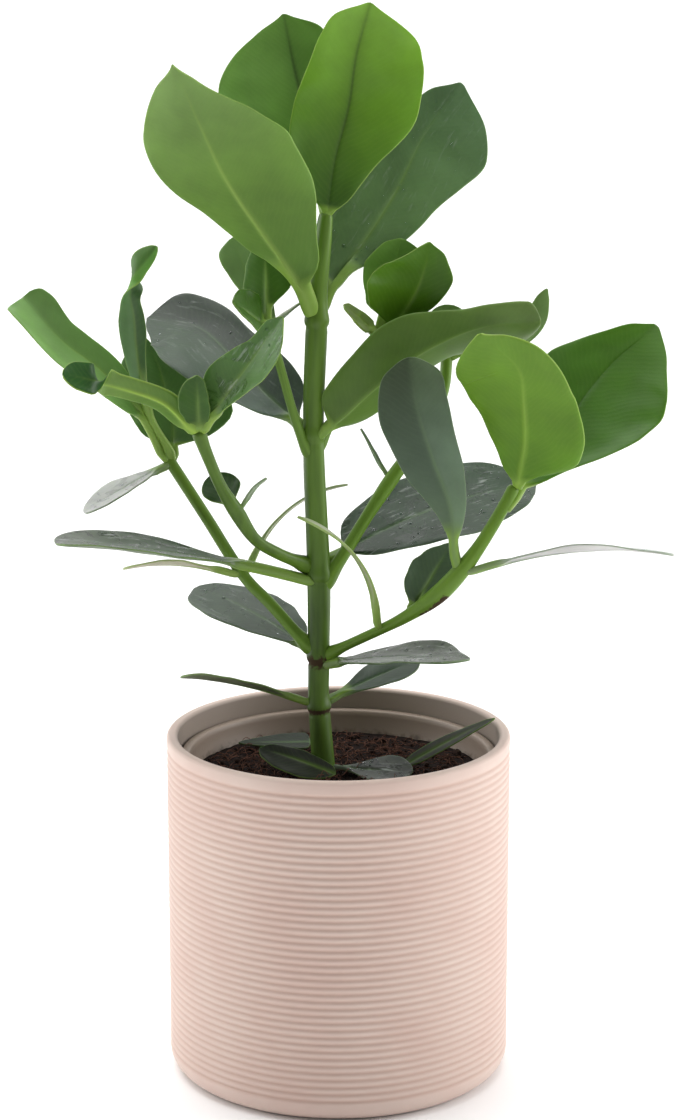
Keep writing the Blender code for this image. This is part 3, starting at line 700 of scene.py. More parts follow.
@dataclass
class PottingSoil:
    """The root ball: a lumpy surface, loose crumbs and fibres of coir."""

    top_z: float = 123.5
    mound: float = 1.0
    top_radius: float = 59.6
    low_radius: float = 44.1
    low_z: float = 11.3
    around: int = 220
    rings: int = 84
    crumbs: int = 620
    crumb_margin: float = 2.5       # from the wall
    crumb_seed: int = 11
    fibres: int = 900
    fibre_margin: float = 8.0
    fibre_step: float = 1.3         # length of one of a fibre's six stretches
    fibre_seed: int = 23

    def height(self, x: float, y: float) -> float:
        """Height of the soil's surface above a place in the pot, in millimetres."""
        here = Vector((x, y, 0.0))
        share = min(1.0, math.hypot(x, y) / self.top_radius)
        lumps = 1.6 * noise.noise(here * 0.09) + 1.0 * noise.noise(here * 0.27)
        crumbs = 0.9 * noise.noise(here * 0.7) + 0.4 * noise.noise(here * 1.6)
        return self.top_z + self.mound * (1.0 - share ** 2) + (lumps + crumbs) * (1.2 - share)

    def on_top(self, x: float, y: float, lift: float = 0.0) -> Vector:
        """Gives the point of the surface above a place in the pot, or one a little higher."""
        return Vector((x, y, self.height(x, y) + lift))

    def spot(self, chance: random.Random, margin: float) -> tuple[float, float]:
        """Picks a place in the pot that keeps a margin from the wall."""
        angle, reach = chance.uniform(0.0, FULL_TURN), math.sqrt(chance.random())
        radius = (self.top_radius - margin) * reach
        return radius * math.cos(angle), radius * math.sin(angle)

    def build(self) -> bpy.types.Object:
        """Lays a grid over the mound and down the wall of the grow pot.

        Returns:
            The root ball.
        """
        def place(u: float, v: float) -> tuple[Vector, Marks]:
            """A point of the root ball's skin: the top, then the side, then the bottom."""
            angle = FULL_TURN * u
            top, side = 0.86, 0.94
            if v <= top:
                radius = self.top_radius * (v / top) ** 0.9
                return self.on_top(radius * math.cos(angle), radius * math.sin(angle)), {}
            down = min(1.0, (v - top) / (side - top))
            radius = self.top_radius + (self.low_radius - self.top_radius) * down
            radius *= 1.0 if v <= side else max(0.0, (1.0 - v) / (1.0 - side))
            z = self.height(self.top_radius, 0.0) * (1.0 - down) + self.low_z * down
            return round_axis(radius, angle, z), {}

        return wrapped_grid("peat_root_ball", self.around, self.rings, place)

    def build_crumbs(self) -> bpy.types.Object:
        """Scatters crumbs over the surface: one small lump, copied, turned and sized.

        Returns:
            The crumbs as one piece.
        """
        chance = random.Random(self.crumb_seed)
        shape, faces = template("ico_sphere", subdivisions=2, radius=1.0)
        points, skins = [], []
        for index in range(self.crumbs):
            x, y = self.spot(chance, self.crumb_margin)
            size = chance.uniform(0.35, 0.9) + 1.1 * chance.random() ** 7
            turn = Matrix.Rotation(chance.uniform(0.0, 6.0), 3, (chance.random(), 1.0, 0.5))
            stretch = Vector([size * chance.uniform(0.6, 1.3) for _ in range(3)])
            middle = self.on_top(x, y, 0.3 * size)
            first = len(points)
            for corner in shape:
                rough = 1.0 + 0.45 * noise.noise(corner * 1.7 + Vector((index, 0.0, 0.0)))
                points.append((middle + turn @ (corner * stretch) * rough) * MM)
            skins += [tuple(first + corner for corner in face) for face in faces]
        return piece_from_faces("peat_crumbs", points, skins)

    def build_fibres(self) -> bpy.types.Object:
        """Strews curled fibres over the surface.

        Returns:
            The fibres as one piece.
        """
        chance = random.Random(self.fibre_seed)
        points, skins = [], []
        for _ in range(self.fibres):
            x, y = self.spot(chance, self.fibre_margin)
            heading, curl = chance.uniform(0.0, FULL_TURN), chance.uniform(-0.5, 0.5)
            lift = chance.uniform(0.4, 5.5) * chance.random() ** 1.5
            line = []
            for step in range(7):
                line.append(self.on_top(x, y, 0.3 + lift * math.sin(math.pi * step / 6.0)))
                x += self.fibre_step * math.cos(heading)
                y += self.fibre_step * math.sin(heading)
                heading += curl
            add_strand(points, skins, line, chance.uniform(0.1, 0.22))
        return piece_from_faces("coir_fibres", points, skins)

    def dress(self, ball: bpy.types.Object, crumbs: bpy.types.Object,
              fibres: bpy.types.Object) -> None:
        """Gives the soil, its crumbs and its fibres their finishes."""
        peat = Peat("damp_peat", "16100f", "33241f", 1.6).make()
        crumb = Peat("peat_crumb", "241a17", "4a3730", 1.4).make()
        coir = Peat("coir_fibre", "553a30", "8a6454", 0.9).make()
        finish_piece(ball, peat, "soil", "potting_soil")
        finish_piece(crumbs, crumb, "soil")
        finish_piece(fibres, coir, "soil")


def piece_from_faces(name: str, points: Sequence[Vector], faces: Faces) -> bpy.types.Object:
    """Makes one smooth piece of many small closed shapes.

    Args:
        name: the piece's name.
        points: the corners, in metres.
        faces: for each face, the indices of its corners.

    Returns:
        The piece.
    """
    mesh = bpy.data.meshes.new(name)
    mesh.from_pydata([tuple(point) for point in points], [], list(faces))
    mesh.shade_smooth()
    piece = bpy.data.objects.new(name, mesh)
    bpy.context.scene.collection.objects.link(piece)
    return piece


def add_strand(points: list[Vector], faces: Faces, line: Sequence[Vector],
               radius: float) -> None:
    """Adds a thin strand of four sides to a list of corners and faces.

    Args:
        points: the corners so far, in metres; the strand's are added.
        faces: the faces so far; the strand's are added.
        line: the strand's middle line, in millimetres.
        radius: half its thickness in the middle, in millimetres.
    """
    first, last = len(points), len(line) - 1
    for index, middle in enumerate(line):
        along = (line[min(index + 1, last)] - line[max(index - 1, 0)]).normalized()
        side = along.cross(Vector((0.0, 0.0, 1.0))).normalized()
        above = side.cross(along)
        reach = radius * (0.35 + 0.65 * math.sin(math.pi * (index + 0.5) / (last + 1)))
        for corner in range(4):
            angle = 0.5 * math.pi * corner
            points.append((middle + (side * math.cos(angle) + above * math.sin(angle)) * reach)
                          * MM)
    for index in range(last):
        for corner in range(4):
            here, beside = first + 4 * index + corner, first + 4 * index + (corner + 1) % 4
            faces.append((here, beside, beside + 4, here + 4))
    faces.append((first + 3, first + 2, first + 1, first))
    end = first + 4 * last
    faces.append((end, end + 1, end + 2, end + 3))


# ---------------------------------------------------------------------------------- wood


@dataclass(frozen=True)
class Limb:
    """A stem or branch: the places that its wood runs through and how thick it is there."""

    name: str
    line: tuple[Place, ...]
    radii: tuple[float, ...]
    root: Place | None = None           # place inside the wood that it leaves
    fresh: float = 0.3                  # 0 old wood, 1 a new yellow-green shoot
    scar: tuple[float, float] | None = None     # stretch with cork on its under side


STEM = Limb("main_stem",
            ((-6, -2, 118), (-6, -2, 125.5), (-8, 0, 153), (-8, 0, 174), (-8, 0, 208),
             (-10, 0, 265), (-8.6, 0, 308), (-8, 1, 321), (-5, 3, 350)),
            (5.0, 4.8, 4.3, 4.4, 4.7, 4.2, 4.4, 3.8, 2.7), fresh=0.15)
STEM_NODES = (153.0, 174.0, 208.0, 265.0, 311.0)

BRANCHES = (
    Limb("branch_left_low",
         ((-15, 1, 180.5), (-28, 6, 194), (-39, 10, 205), (-54, 15, 228), (-68, 20, 249)),
         (2.4, 2.4, 2.4, 2.4, 2.4), root=(-8, 0, 174.5), fresh=0.7),
    Limb("branch_right_low",
         ((0, -3, 177), (17, -10, 187), (28, -14, 194), (39, -18, 203), (48, -20, 213),
          (56, -20, 224), (64, -18, 237), (69, -16, 246)),
         (2.0, 2.1, 2.6, 3.7, 3.5, 2.7, 2.5, 2.5), root=(-8, 0, 172), fresh=1.0,
         scar=(46.0, 66.0)),
    Limb("branch_left_high",
         ((-15.5, -3, 213), (-24, -11, 218.5), (-33, -18, 226), (-40, -23, 238), (-46, -26, 249),
          (-51, -29, 262), (-54, -31, 271)),
         (2.4, 2.4, 2.4, 3.1, 2.4, 2.4, 3.0), root=(-10, 2, 209.5), fresh=0.3),
    Limb("branch_right_high",
         ((-2, 1, 209), (3.5, 4, 217), (11.5, 10, 229), (21, 16, 242.5), (33, 22, 259),
          (42, 27, 276), (44, 30, 290)),
         (2.6, 2.6, 2.5, 3.0, 2.4, 2.4, 2.4), root=(-8, 0, 201), fresh=0.8),
    Limb("shoot_left", ((-15, -3, 265), (-19, -5, 278), (-24, -7, 297), (-28, -8, 309)),
         (1.9, 1.8, 1.8, 2.0), root=(-10, 0, 254), fresh=0.6),
    Limb("shoot_right", ((-4, 4, 267), (2, 8, 279), (9, 9, 291), (16, 9, 303)),
         (1.9, 1.8, 1.8, 1.8), root=(-10, 0, 256), fresh=0.6),
)


@dataclass
class Wood:
    """The main stem, its side branches and its short shoots."""

    sides: int = 22
    step: float = 1.1               # millimetres between rings of points
    ring_swelling: float = 0.16     # how much thicker the stem is where leaves were or are
    ring_groove: float = 0.10       # how much thinner it is below them
    collar: float = 0.5             # how much thicker a branch is where it leaves the wood
    beyond: float = 1.8             # how far the wood goes on past its last point
    knobs: float = 0.035            # how far the bark's grain swells it

    def limb(self, limb: Limb, nodes: Sequence[float]) -> bpy.types.Object:
        """Builds one limb as a round skin along its line.

        Args:
            limb: the stem or branch.
            nodes: heights at which the stem has a ring.

        Returns:
            The limb.
        """
        stops = [Vector((*place, radius)) for place, radius in zip(limb.line, limb.radii)]
        stops.append(stops[-1] + (stops[-1] - stops[-2]).normalized() * self.beyond)
        if limb.root is not None:
            stops.insert(0, Vector((*limb.root, limb.radii[0])))
        line = even_steps(smooth_line(stops, 24), self.step)
        last = len(line) - 1
        frames = steady_frames([Vector(stop[:3]) for stop in line])

        def place(u: float, v: float) -> tuple[Vector, Marks]:
            """A point of the limb's skin."""
            index = round(v * last)
            middle, radius = Vector(line[index][:3]), line[index][3]
            walked = index * self.step
            left = (last - index) * self.step
            angle = FULL_TURN * u
            grain = noise.noise(Vector((3.0 * math.cos(angle), 3.0 * math.sin(angle),
                                        0.05 * walked + len(limb.name))))
            across, above = frames[index]
            outward = across * math.cos(angle) + above * math.sin(angle)
            for height in nodes:
                radius *= 1.0 + self.ring_swelling * bump(middle.z, height - 0.5, 2.6)
                radius *= 1.0 - self.ring_groove * bump(middle.z, height - 3.4, 0.8)
            if limb.root is not None:
                radius *= 1.0 + self.collar * bump(walked, 4.5, 5.5)
                cork = 0.25 * bump(walked, 5.5, 1.6)
            else:
                cork = 0.85 * bump(middle.z, nodes[0] - 2.5, 1.4)
                cork += 1.1 * bump(middle.z, nodes[1] - 2.5, 3.0) * (0.75 + 0.6 * grain)
                cork += 0.3 * bump(middle.z, nodes[2] - 2.5, 0.9)
            if limb.scar is not None:
                inside = ease(walked, limb.scar[0], limb.scar[0] + 5.0)
                inside *= 1.0 - ease(walked, limb.scar[1] - 5.0, limb.scar[1])
                low = -0.5 * outward.y - 0.8 * outward.z
                cork += 0.95 * inside * ease(low, 0.45, 0.85) * (0.8 + 0.8 * grain)
            end = min(1.0, left / radius)
            radius *= math.sqrt(max(0.0, 1.0 - (1.0 - end) ** 2))
            radius *= 1.0 + self.knobs * grain
            point = middle + outward * radius
            # Painted light: each limb's right side is painted fresher and lighter, standing for
            # light from the right.
            fresh = limb.fresh + 0.35 * grain + 0.2 * outward.x
            fresh += 0.4 * ease(middle.z, 180.0, 330.0) if limb.root is None else 0.0
            return point, {"cork": cork, "fresh": min(1.0, max(0.0, fresh))}

        return wrapped_grid(f"{limb.name}_skin", self.sides, last, place)

    def build(self) -> dict[str, bpy.types.Object]:
        """Builds the stem and its branches.

        Returns:
            The CAD node's name to the limb that stands for it.
        """
        limbs = {STEM.name: self.limb(STEM, STEM_NODES)}
        for branch in BRANCHES:
            limbs[branch.name] = self.limb(branch, ())
        return limbs

    def dress(self, limbs: dict[str, bpy.types.Object]) -> None:
        """Gives every limb its green bark."""
        bark = GreenWood().make()
        for node, limb in limbs.items():
            finish_piece(limb, bark, "stem_green", node)


def even_steps(line: Sequence[Vector], step: float) -> list[Vector]:
    """Picks points at even distances along a line.

    Args:
        line: points of three or more values, of which the first three are the place.
        step: the distance wanted, in the line's own units.

    Returns:
        Points at nearly that distance, both ends among them.
    """
    walked = [0.0]
    for before, after in zip(line, line[1:]):
        walked.append(walked[-1] + (Vector(after[:3]) - Vector(before[:3])).length)
    count = max(2, round(walked[-1] / step))
    picked, index = [], 0
    for number in range(count + 1):
        target = walked[-1] * number / count
        while index < len(line) - 2 and walked[index + 1] < target:
            index += 1
        span = max(1e-9, walked[index + 1] - walked[index])
        share = min(1.0, (target - walked[index]) / span)
        picked.append(line[index] + (line[index + 1] - line[index]) * share)
    return picked


def steady_frames(line: Sequence[Vector]) -> list[tuple[Vector, Vector]]:
    """Two directions square to a line at each of its points, turning as little as they can."""
    frames = []
    across = Vector((1.0, 0.0, 0.0))
    for index in range(len(line)):
        along = (line[min(index + 1, len(line) - 1)] - line[max(index - 1, 0)]).normalized()
        across = (across - along * across.dot(along)).normalized()
        frames.append((across.copy(), along.cross(across)))
    return frames


# --------------------------------------------------------------------------------- leaves


@dataclass(frozen=True)
class Leaf:
    """A leaf: where it grows from, its tip, and how its blade is turned, bent and coloured."""

    name: str
    grows_from: str
    tip: Place
    face: Place                         # direction that the upper side looks in
    width: float = 0.0                  # of a leaf without half widths of its own
    arch: float = 0.0                   # how far the midrib bows towards the upper side
    lean: tuple[float, ...] = ()        # how far it lies to the leaf's right, at even steps
    fold: float = 12.0                  # degrees that each half is lifted
    turn: Place = (0.0, 0.0, 1.0)       # degrees more, from and to which share
    left: tuple[float, ...] = ()        # half widths at even steps from stalk to tip
    right: tuple[float, ...] = ()       # the right side's, where it is unlike the left
    blunt: float = 0.08                 # share of the length that rounds off at the tip
    widest: float = 0.62                # where a leaf without half widths is widest
    point: float = 0.55                 # roundness of its tip; larger is more pointed
    stalk: float = 0.06                 # share of the length that is bare stalk
    stem: float = 1.6                   # half the stalk's thickness
    flare: float = 0.5                  # how much thicker it is where it leaves the wood
    clear: float = 0.8                  # from the wood's skin to where the blade can begin
    sink: float = 0.0                   # how far down the stalk runs inside the wood
    tone: Tone = Tone.GREEN
    upper: tuple[str, ...] = ()         # its own colours on the upper side, stalk to tip
    under: tuple[str, ...] = ()         # and on the under side
    painted_light_right: float = 0.0          # painted light: how much lighter the right half is painted than the left, for the sheen and shade of the fold's halves
    pale_rib_and_crease_shade: float = 1.0                  # how pale its midrib is; below 0 the midrib gets painted crease shade instead
    dull: bool = False                  # fallen, and its wax gone
    drops: int = 0                      # drops of water that lie on the upper side
    wet: float = 0.0                    # how much of a film of water lies on the upper side


STEM_PLACES = {
    "stem_soil": ((-6, -2, 127), 4.9),
    "soil_before_stem": ((-1, -14, 127.5), 0.4),
    "soil_behind_stem": ((-11.3, 31, 127.5), 0.3),
    "soil_at_right": ((25.5, -2.5, 127), 0.4),
    "stem_first": ((-8, 0, 153), 4.7),
    "stem_second": ((-8, 0, 174), 4.5),
    "stem_second_low": ((-8, 0, 170), 4.5),
    "stem_third": ((-8, -1, 204.5), 4.2),
    "stem_third_back": ((-6, 4, 212), 4.2),
    "stem_fourth": ((-10, 0, 265), 3.9),
    "stem_fourth_front": ((-9, -3, 265), 3.9),
    "stem_fifth_front": ((-9.5, -1, 313), 4.0),
    "stem_fifth_back": ((-8.5, 1, 313), 4.0),
    "stem_top": ((-5, 3, 350), 2.4),
}

CROWN = (
    Leaf("leaf_crown_front", "stem_fifth_front", (-62, -42, 413), (1, 6, 2), arch=4,
         lean=(-1.2, 3.2, 5.5, 3.4, 0), stalk=0.01, stem=2.8, flare=0.35, clear=8.5, sink=3,
         left=(10, 15, 22, 27, 29.3, 30, 29.5, 22.5, 14, 5.5, 0),
         right=(1.5, 3, 9.3, 13, 17, 23.5, 27, 26, 20, 12, 1.5),
         under=("527428", "5c7e2e", "6c8a48")),
    Leaf("leaf_crown_right", "stem_fifth_back", (49.6, 48, 400), (0, -4, 1), arch=-5,
         lean=(-1.4, 0.6, 0.6, -1.8, 0), fold=8, stalk=0.01, stem=2.6, flare=0.35, clear=8.0,
         sink=2, tone=Tone.DEEP, drops=40, wet=0.15, painted_light_right=0.2,
         left=(8, 15.5, 20.5, 22, 23.5, 23.5, 20.5, 15, 11.5, 8.5, 2.5),
         right=(3, 3, 8.5, 12.5, 15.5, 18, 23.5, 27.5, 27, 19.5, 5),
         upper=("567444", "547144", "55714c")),
    # Painted shade: its colours darken towards the stalk, standing for shade at the base of the
    # leaf.
    Leaf("leaf_crown_top", "stem_top", (12.4, 8, 433.6), (0, -1, 0), arch=-2,
         lean=(0, -1, 0, -1.2, 0), blunt=0.06, stalk=0.0, stem=2.2, flare=0.0, tone=Tone.YOUNG,
         left=(4, 10, 16, 20, 21.5, 21.5, 20, 17.5, 15.5, 12.5, 3),
         right=(4.5, 9.5, 14, 18, 22.5, 27, 28, 27.5, 26, 21, 3),
         upper=("3c5c20", "608c22", "76a434"), pale_rib_and_crease_shade=-1.0),
    Leaf("leaf_crown_back", "stem_top", (-22, 34, 428), (1, -4, 1), stem=2.0, flare=0.0,
         left=(10, 19, 24, 28.5, 32, 34, 34.5, 31, 24, 13, 2),
         right=(12, 15, 17.5, 18, 19, 20, 19.5, 18.5, 16.5, 13.5, 3), upper=("5a8332",),
         pale_rib_and_crease_shade=-1.0),
)

STEM_PAIRS = (
    # Painted reflection: lighter grey towards the stalk and on the left half, standing for the
    # sky's sheen on the glossy upper side.
    Leaf("leaf_fourth_left", "stem_fourth", (-79.3, 60, 302.5), (0, -1, 2), arch=8,
         lean=(-1, -2, 2, 6, 0), blunt=0.05, stem=2.3, tone=Tone.GREY, drops=14, wet=0.25,
         painted_light_right=-0.6, left=(2, 10.5, 16, 23.5, 28, 29.5, 28, 26.5, 24.5, 14, 2),
         right=(8, 15, 17, 17, 16, 14.5, 14, 15, 16.5, 17, 14),
         upper=("525f56", "384638", "2c3b2b")),
    Leaf("leaf_fourth_right", "stem_fourth_front", (80.6, 9, 309.5), (-1, 4, 2), arch=-1,
         lean=(1, 9, 14, 11, 0), fold=26, blunt=0.05, stalk=0.0, stem=2.1, flare=0.1, clear=3.0,
         sink=3, tone=Tone.DEEP, painted_light_right=-0.2,
         left=(7, 15.5, 18.5, 18.5, 17.5, 16.5, 17, 19, 19.5, 17.5, 11),
         right=(11, 13, 14.5, 16.5, 17.5, 16, 12, 8.5, 8, 8.5, 8),
         under=("527028", "53702b", "617b3a")),
    # Painted reflection: the pale colours at the stalk and tip stand for white sheen on the wet
    # upper side.
    Leaf("leaf_third_left", "stem_third", (-111, -30, 227), (0, 0, 1), width=36, arch=3, fold=10,
         point=0.4, stalk=0.2, stem=2.3, tone=Tone.DEEP, drops=20, wet=0.9,
         upper=("5f6a54", "3a4e36", "6a7066"), under=("5a6850",)),
    Leaf("leaf_third_right", "stem_third_back", (83, 60, 232), (0, -2, 5), arch=6, fold=10,
         stem=2.0, tone=Tone.GREY, drops=60, wet=0.5,
         left=(9, 15, 18.5, 20.5, 21.5, 22, 23, 23, 21, 17, 6),
         right=(8, 14.5, 19.5, 24.5, 29, 29, 26.5, 23, 19, 11, 3)),
    Leaf("leaf_second_left", "stem_second", (-60, 48, 190), (0, -1, 4), arch=3, fold=8, stem=2.0,
         tone=Tone.GREY, drops=12, wet=0.3, left=(2, 6, 9.5, 13, 15, 17, 17.5, 16.5, 14.5, 10.5, 4),
         right=(3, 8.5, 11, 14, 14, 14.5, 13.5, 12.5, 10, 7.5, 4), upper=("414e41",)),
    Leaf("leaf_second_right", "stem_second_low", (52, -30, 180), (0, 0, 1), arch=2, fold=8,
         stem=2.2, tone=Tone.GREY, drops=50, wet=0.9, left=(2, 8, 11, 14, 16, 17, 17, 16, 12, 6, 2),
         right=(2, 8, 14, 17, 18, 18, 18, 18, 17, 14, 6), upper=("5c6458",)),
    Leaf("leaf_first_left", "stem_first", (-64, -6, 166), (0, 1, 3), width=26, arch=2, fold=8,
         tone=Tone.DEEP, upper=("555e46",), under=("555e46",)),
    Leaf("leaf_first_right", "stem_first", (33, 20, 166), (0, -1, 3), width=19, arch=1, fold=8,
         tone=Tone.GREY),
)

SOIL_LEAVES = (
    Leaf("leaf_soil_back", "soil_behind_stem", (-42, 30, 127.5), (0, -0.15, 1), fold=6, stalk=0.0,
         stem=1.0, flare=0.0, clear=0.3, tone=Tone.GREY, dull=True,
         left=(7, 7, 6.6, 6, 5.4, 4.8, 4.2, 3.4, 2.6, 1.6, 0.5),
         right=(8, 8.2, 8, 7.6, 7, 6.2, 5.5, 4.5, 3.4, 2, 0.5), upper=("2c322a",)),
    Leaf("leaf_soil_front", "soil_before_stem", (-32.5, 0, 134), (0, -1, 2), arch=1, fold=6,
         stalk=0.0, stem=1.0, flare=0.0, clear=0.3, tone=Tone.DEEP, dull=True,
         left=(3, 6, 8, 9, 9.5, 9.5, 9, 8, 6.5, 4.5, 1.5),
         right=(2.5, 3.5, 4.2, 4.8, 5.3, 5.6, 5.6, 5.2, 4.8, 3.5, 1), upper=("2f332b",),
         under=("34382e",)),
    Leaf("leaf_soil_wet", "stem_soil", (30, -13, 128), (0, -0.3, 1), width=20, fold=6, stem=1.2,
         flare=0.2, tone=Tone.GREY, dull=True, drops=26, wet=1.0, upper=("626561",)),
    Leaf("leaf_soil_rim", "soil_at_right", (64.5, 12, 143.5), (0, -1, 1.5), arch=1, fold=6,
         stalk=0.0, stem=0.8, flare=0.0, clear=0.3, tone=Tone.DEEP, dull=True,
         left=(1, 2.6, 3, 3, 2.6, 2, 1.2, 0.4), upper=("555652",)),
)

LEFT_LOW = (
    Leaf("leaf_left_low_strap", "branch_left_low:2", (-87, 2, 209), (0, 1, 4), width=22, arch=3,
         fold=6, clear=1.4, upper=("a2a18d",), under=("9c9a80",)),
    Leaf("leaf_left_low_arc", "branch_left_low:2", (4, 30, 238), (-5, 1, 5), arch=8, fold=6,
         tone=Tone.DEEP, left=(1.5, 3, 4, 4, 3, 2, 0.5), upper=("acb091",), under=("acb091",)),
    Leaf("leaf_left_low_long", "branch_left_low:4", (-126.2, 14, 317.5), (1, -2, 2), arch=7,
         lean=(0, 1.5, -0.5, -4, 0), fold=24, blunt=0.04, stalk=0.2, clear=4.0, painted_light_right=-0.25,
         left=(3, 8, 11.5, 14, 15.5, 15.5, 15.5, 15.5, 16, 17, 15.5),
         right=(2, 3, 6, 7.5, 8, 8.5, 9, 9, 9.5, 10, 8), upper=("4c7430", "6a924a", "6c934e")),
    Leaf("leaf_left_low_upright", "branch_left_low:4", (-72, 8, 339), (0, -1, 0),
         lean=(0, -6.5, -9.5, -10.7, -10.8, -11, 0), fold=34, turn=(170, 0.74, 0.92), blunt=0.1,
         stalk=0.2, clear=1.2, painted_light_right=-0.6,
         left=(1.5, 1.5, 3.5, 5, 6, 7, 7, 4.5, 3.5, 3, 2.5),
         right=(1.5, 1.5, 2, 3.5, 4.5, 5.5, 5, 4.5, 6.5, 7, 5),
         upper=("567650", "5a7a4e", "567848"), under=("5c7c38", "5c7c40", "4c7a2c")),
    Leaf("leaf_left_low_broad", "branch_left_low:4", (-79.5, 45, 296.5), (0, -2, 1),
         lean=(2, 4, 3.7, 3, 0), fold=8, clear=2.0, tone=Tone.DEEP,
         left=(8, 13, 15, 16, 17, 17, 17, 16, 15, 12.5, 3),
         right=(10, 18, 25, 23.5, 17.5, 13, 8, 3.5, 1.5, 1, 1), upper=("486a32", "466831")),
    # Painted reflection: its near-white upper colour stands for the white sheen of the glossy upper
    # side.
    Leaf("leaf_left_low_silver", "branch_left_low:4", (-102, 2, 232), (0, 0, 1), width=21, arch=1,
         fold=8, widest=0.55, tone=Tone.GREY, drops=12, wet=0.4, upper=("aeb0ac",)),
)

LEFT_HIGH = (
    Leaf("leaf_left_high_round", "branch_left_high:3", (-50, -11, 250.5), (0, -1, 1), width=16,
         fold=6, widest=0.5, tone=Tone.DEEP, upper=("1c3c08",)),
    Leaf("leaf_left_high_spike", "branch_left_high:3", (-28, -20, 251), (0, 1, 3), arch=1, fold=6,
         stem=0.9, tone=Tone.GREY, left=(1, 2, 2.5, 2, 1.5, 0.8), upper=("8c9a80",),
         under=("8c9a80",)),
    Leaf("leaf_left_high_twisted", "branch_left_high:6", (-105, -48, 297), (0, 2, 1), arch=4,
         lean=(-1, -4.5, -3, -1, 0), fold=14, turn=(-110, 0.66, 0.79), blunt=0.1, stalk=0.03,
         stem=2.0, tone=Tone.YOUNG, left=(3, 4.5, 5, 5, 5, 5, 5.2, 7, 7, 6, 5), upper=("1e4c10",),
         under=("4c7020", "5e7e34", "6c8848")),
    Leaf("leaf_left_high_curved", "branch_left_high:6", (-21, -48, 319), (-1, -2, 1), fold=28,
         blunt=0.12, stem=2.0, drops=8, wet=0.6,
         left=(5, 7.5, 10, 11.5, 11, 9.5, 7.5, 5, 4.5, 4, 2),
         right=(1, 3, 5.5, 8, 10.5, 12.5, 15, 15.5, 14.5, 10.5, 4), upper=("44662c", "466c2e")),
    Leaf("leaf_left_high_small", "branch_left_high:6", (-54, -44, 296), (0, -1, 0), fold=14,
         stalk=0.02, stem=1.8, tone=Tone.DEEP, left=(2, 4.5, 5.5, 7, 7.5, 7.5, 7.5, 7, 6, 4, 1),
         right=(2.5, 3.5, 4, 4.5, 4.5, 4, 4, 3.5, 3, 2.5, 1), upper=("2a4e08",)),
)

SHOOT_LEAVES = (
    Leaf("leaf_inner_left_outer", "shoot_left:2", (-42, 18, 341), (0, -1, 0), clear=2.6,
         left=(2, 2.5, 2.5, 3, 4, 4.5, 6, 7, 8, 7.5, 4),
         right=(3, 4, 5, 6, 7, 7.5, 8, 8.5, 8.5, 7.5, 4), upper=("66864a",)),
    Leaf("leaf_inner_left_keeled", "shoot_left:3", (-29, 6, 342), (0, 1, 0), fold=24,
         tone=Tone.DEEP, left=(1, 1.5, 4.5, 8, 10.5, 10.5, 10, 8, 6.5, 3, 1),
         right=(4, 6, 7.5, 9, 10, 9.5, 9, 8.5, 7, 5, 1), upper=("345a08",), under=("345a08",)),
    Leaf("leaf_inner_left_small", "shoot_left:3", (-41, -22, 321), (0, -1, 1), tone=Tone.DEEP,
         left=(4, 6, 7, 6, 4.5, 4.5, 4, 3.5, 2.5, 1.5, 0.5),
         right=(8, 11, 11, 10.5, 10.5, 10.5, 9.5, 8.5, 7.5, 4.5, 1), upper=("355c08",)),
    Leaf("leaf_inner_left_sliver", "shoot_left:3", (-15, 2, 317), (0, 1, 3), stem=1.0,
         tone=Tone.GREY, left=(1, 2, 2.5, 2, 1.5, 0.8), upper=("a8ae98",)),
    Leaf("leaf_inner_right_front", "shoot_right:3", (36, 4, 341), (1, -3, 0),
         lean=(4, 4.8, 4.8, 3.2, 0), fold=14,
         left=(2.5, 15, 18.5, 21.5, 23, 22.5, 21.5, 19, 14.5, 6.5, 1.5),
         right=(2, 2.5, 5.5, 7.5, 9.5, 11, 12, 12, 9, 6.5, 2), upper=("406404", "466e10")),
    Leaf("leaf_inner_right_back", "shoot_right:3", (25, 16, 341), (0, -1, 0), fold=8, clear=5.0,
         left=(6, 8, 9, 10.5, 11.5, 12, 12, 10.5, 8.5, 6, 2),
         right=(6, 7.5, 9, 10.5, 11, 11, 11.5, 11.5, 10, 8, 4), upper=("628c37",)),
    Leaf("leaf_inner_right_spear", "shoot_right:3", (2, 6, 316), (0, -1, 1), clear=1.5,
         tone=Tone.YOUNG, left=(2.4, 2.9, 2.9, 2.5, 2, 1.3, 0.4), upper=("829758",)),
)

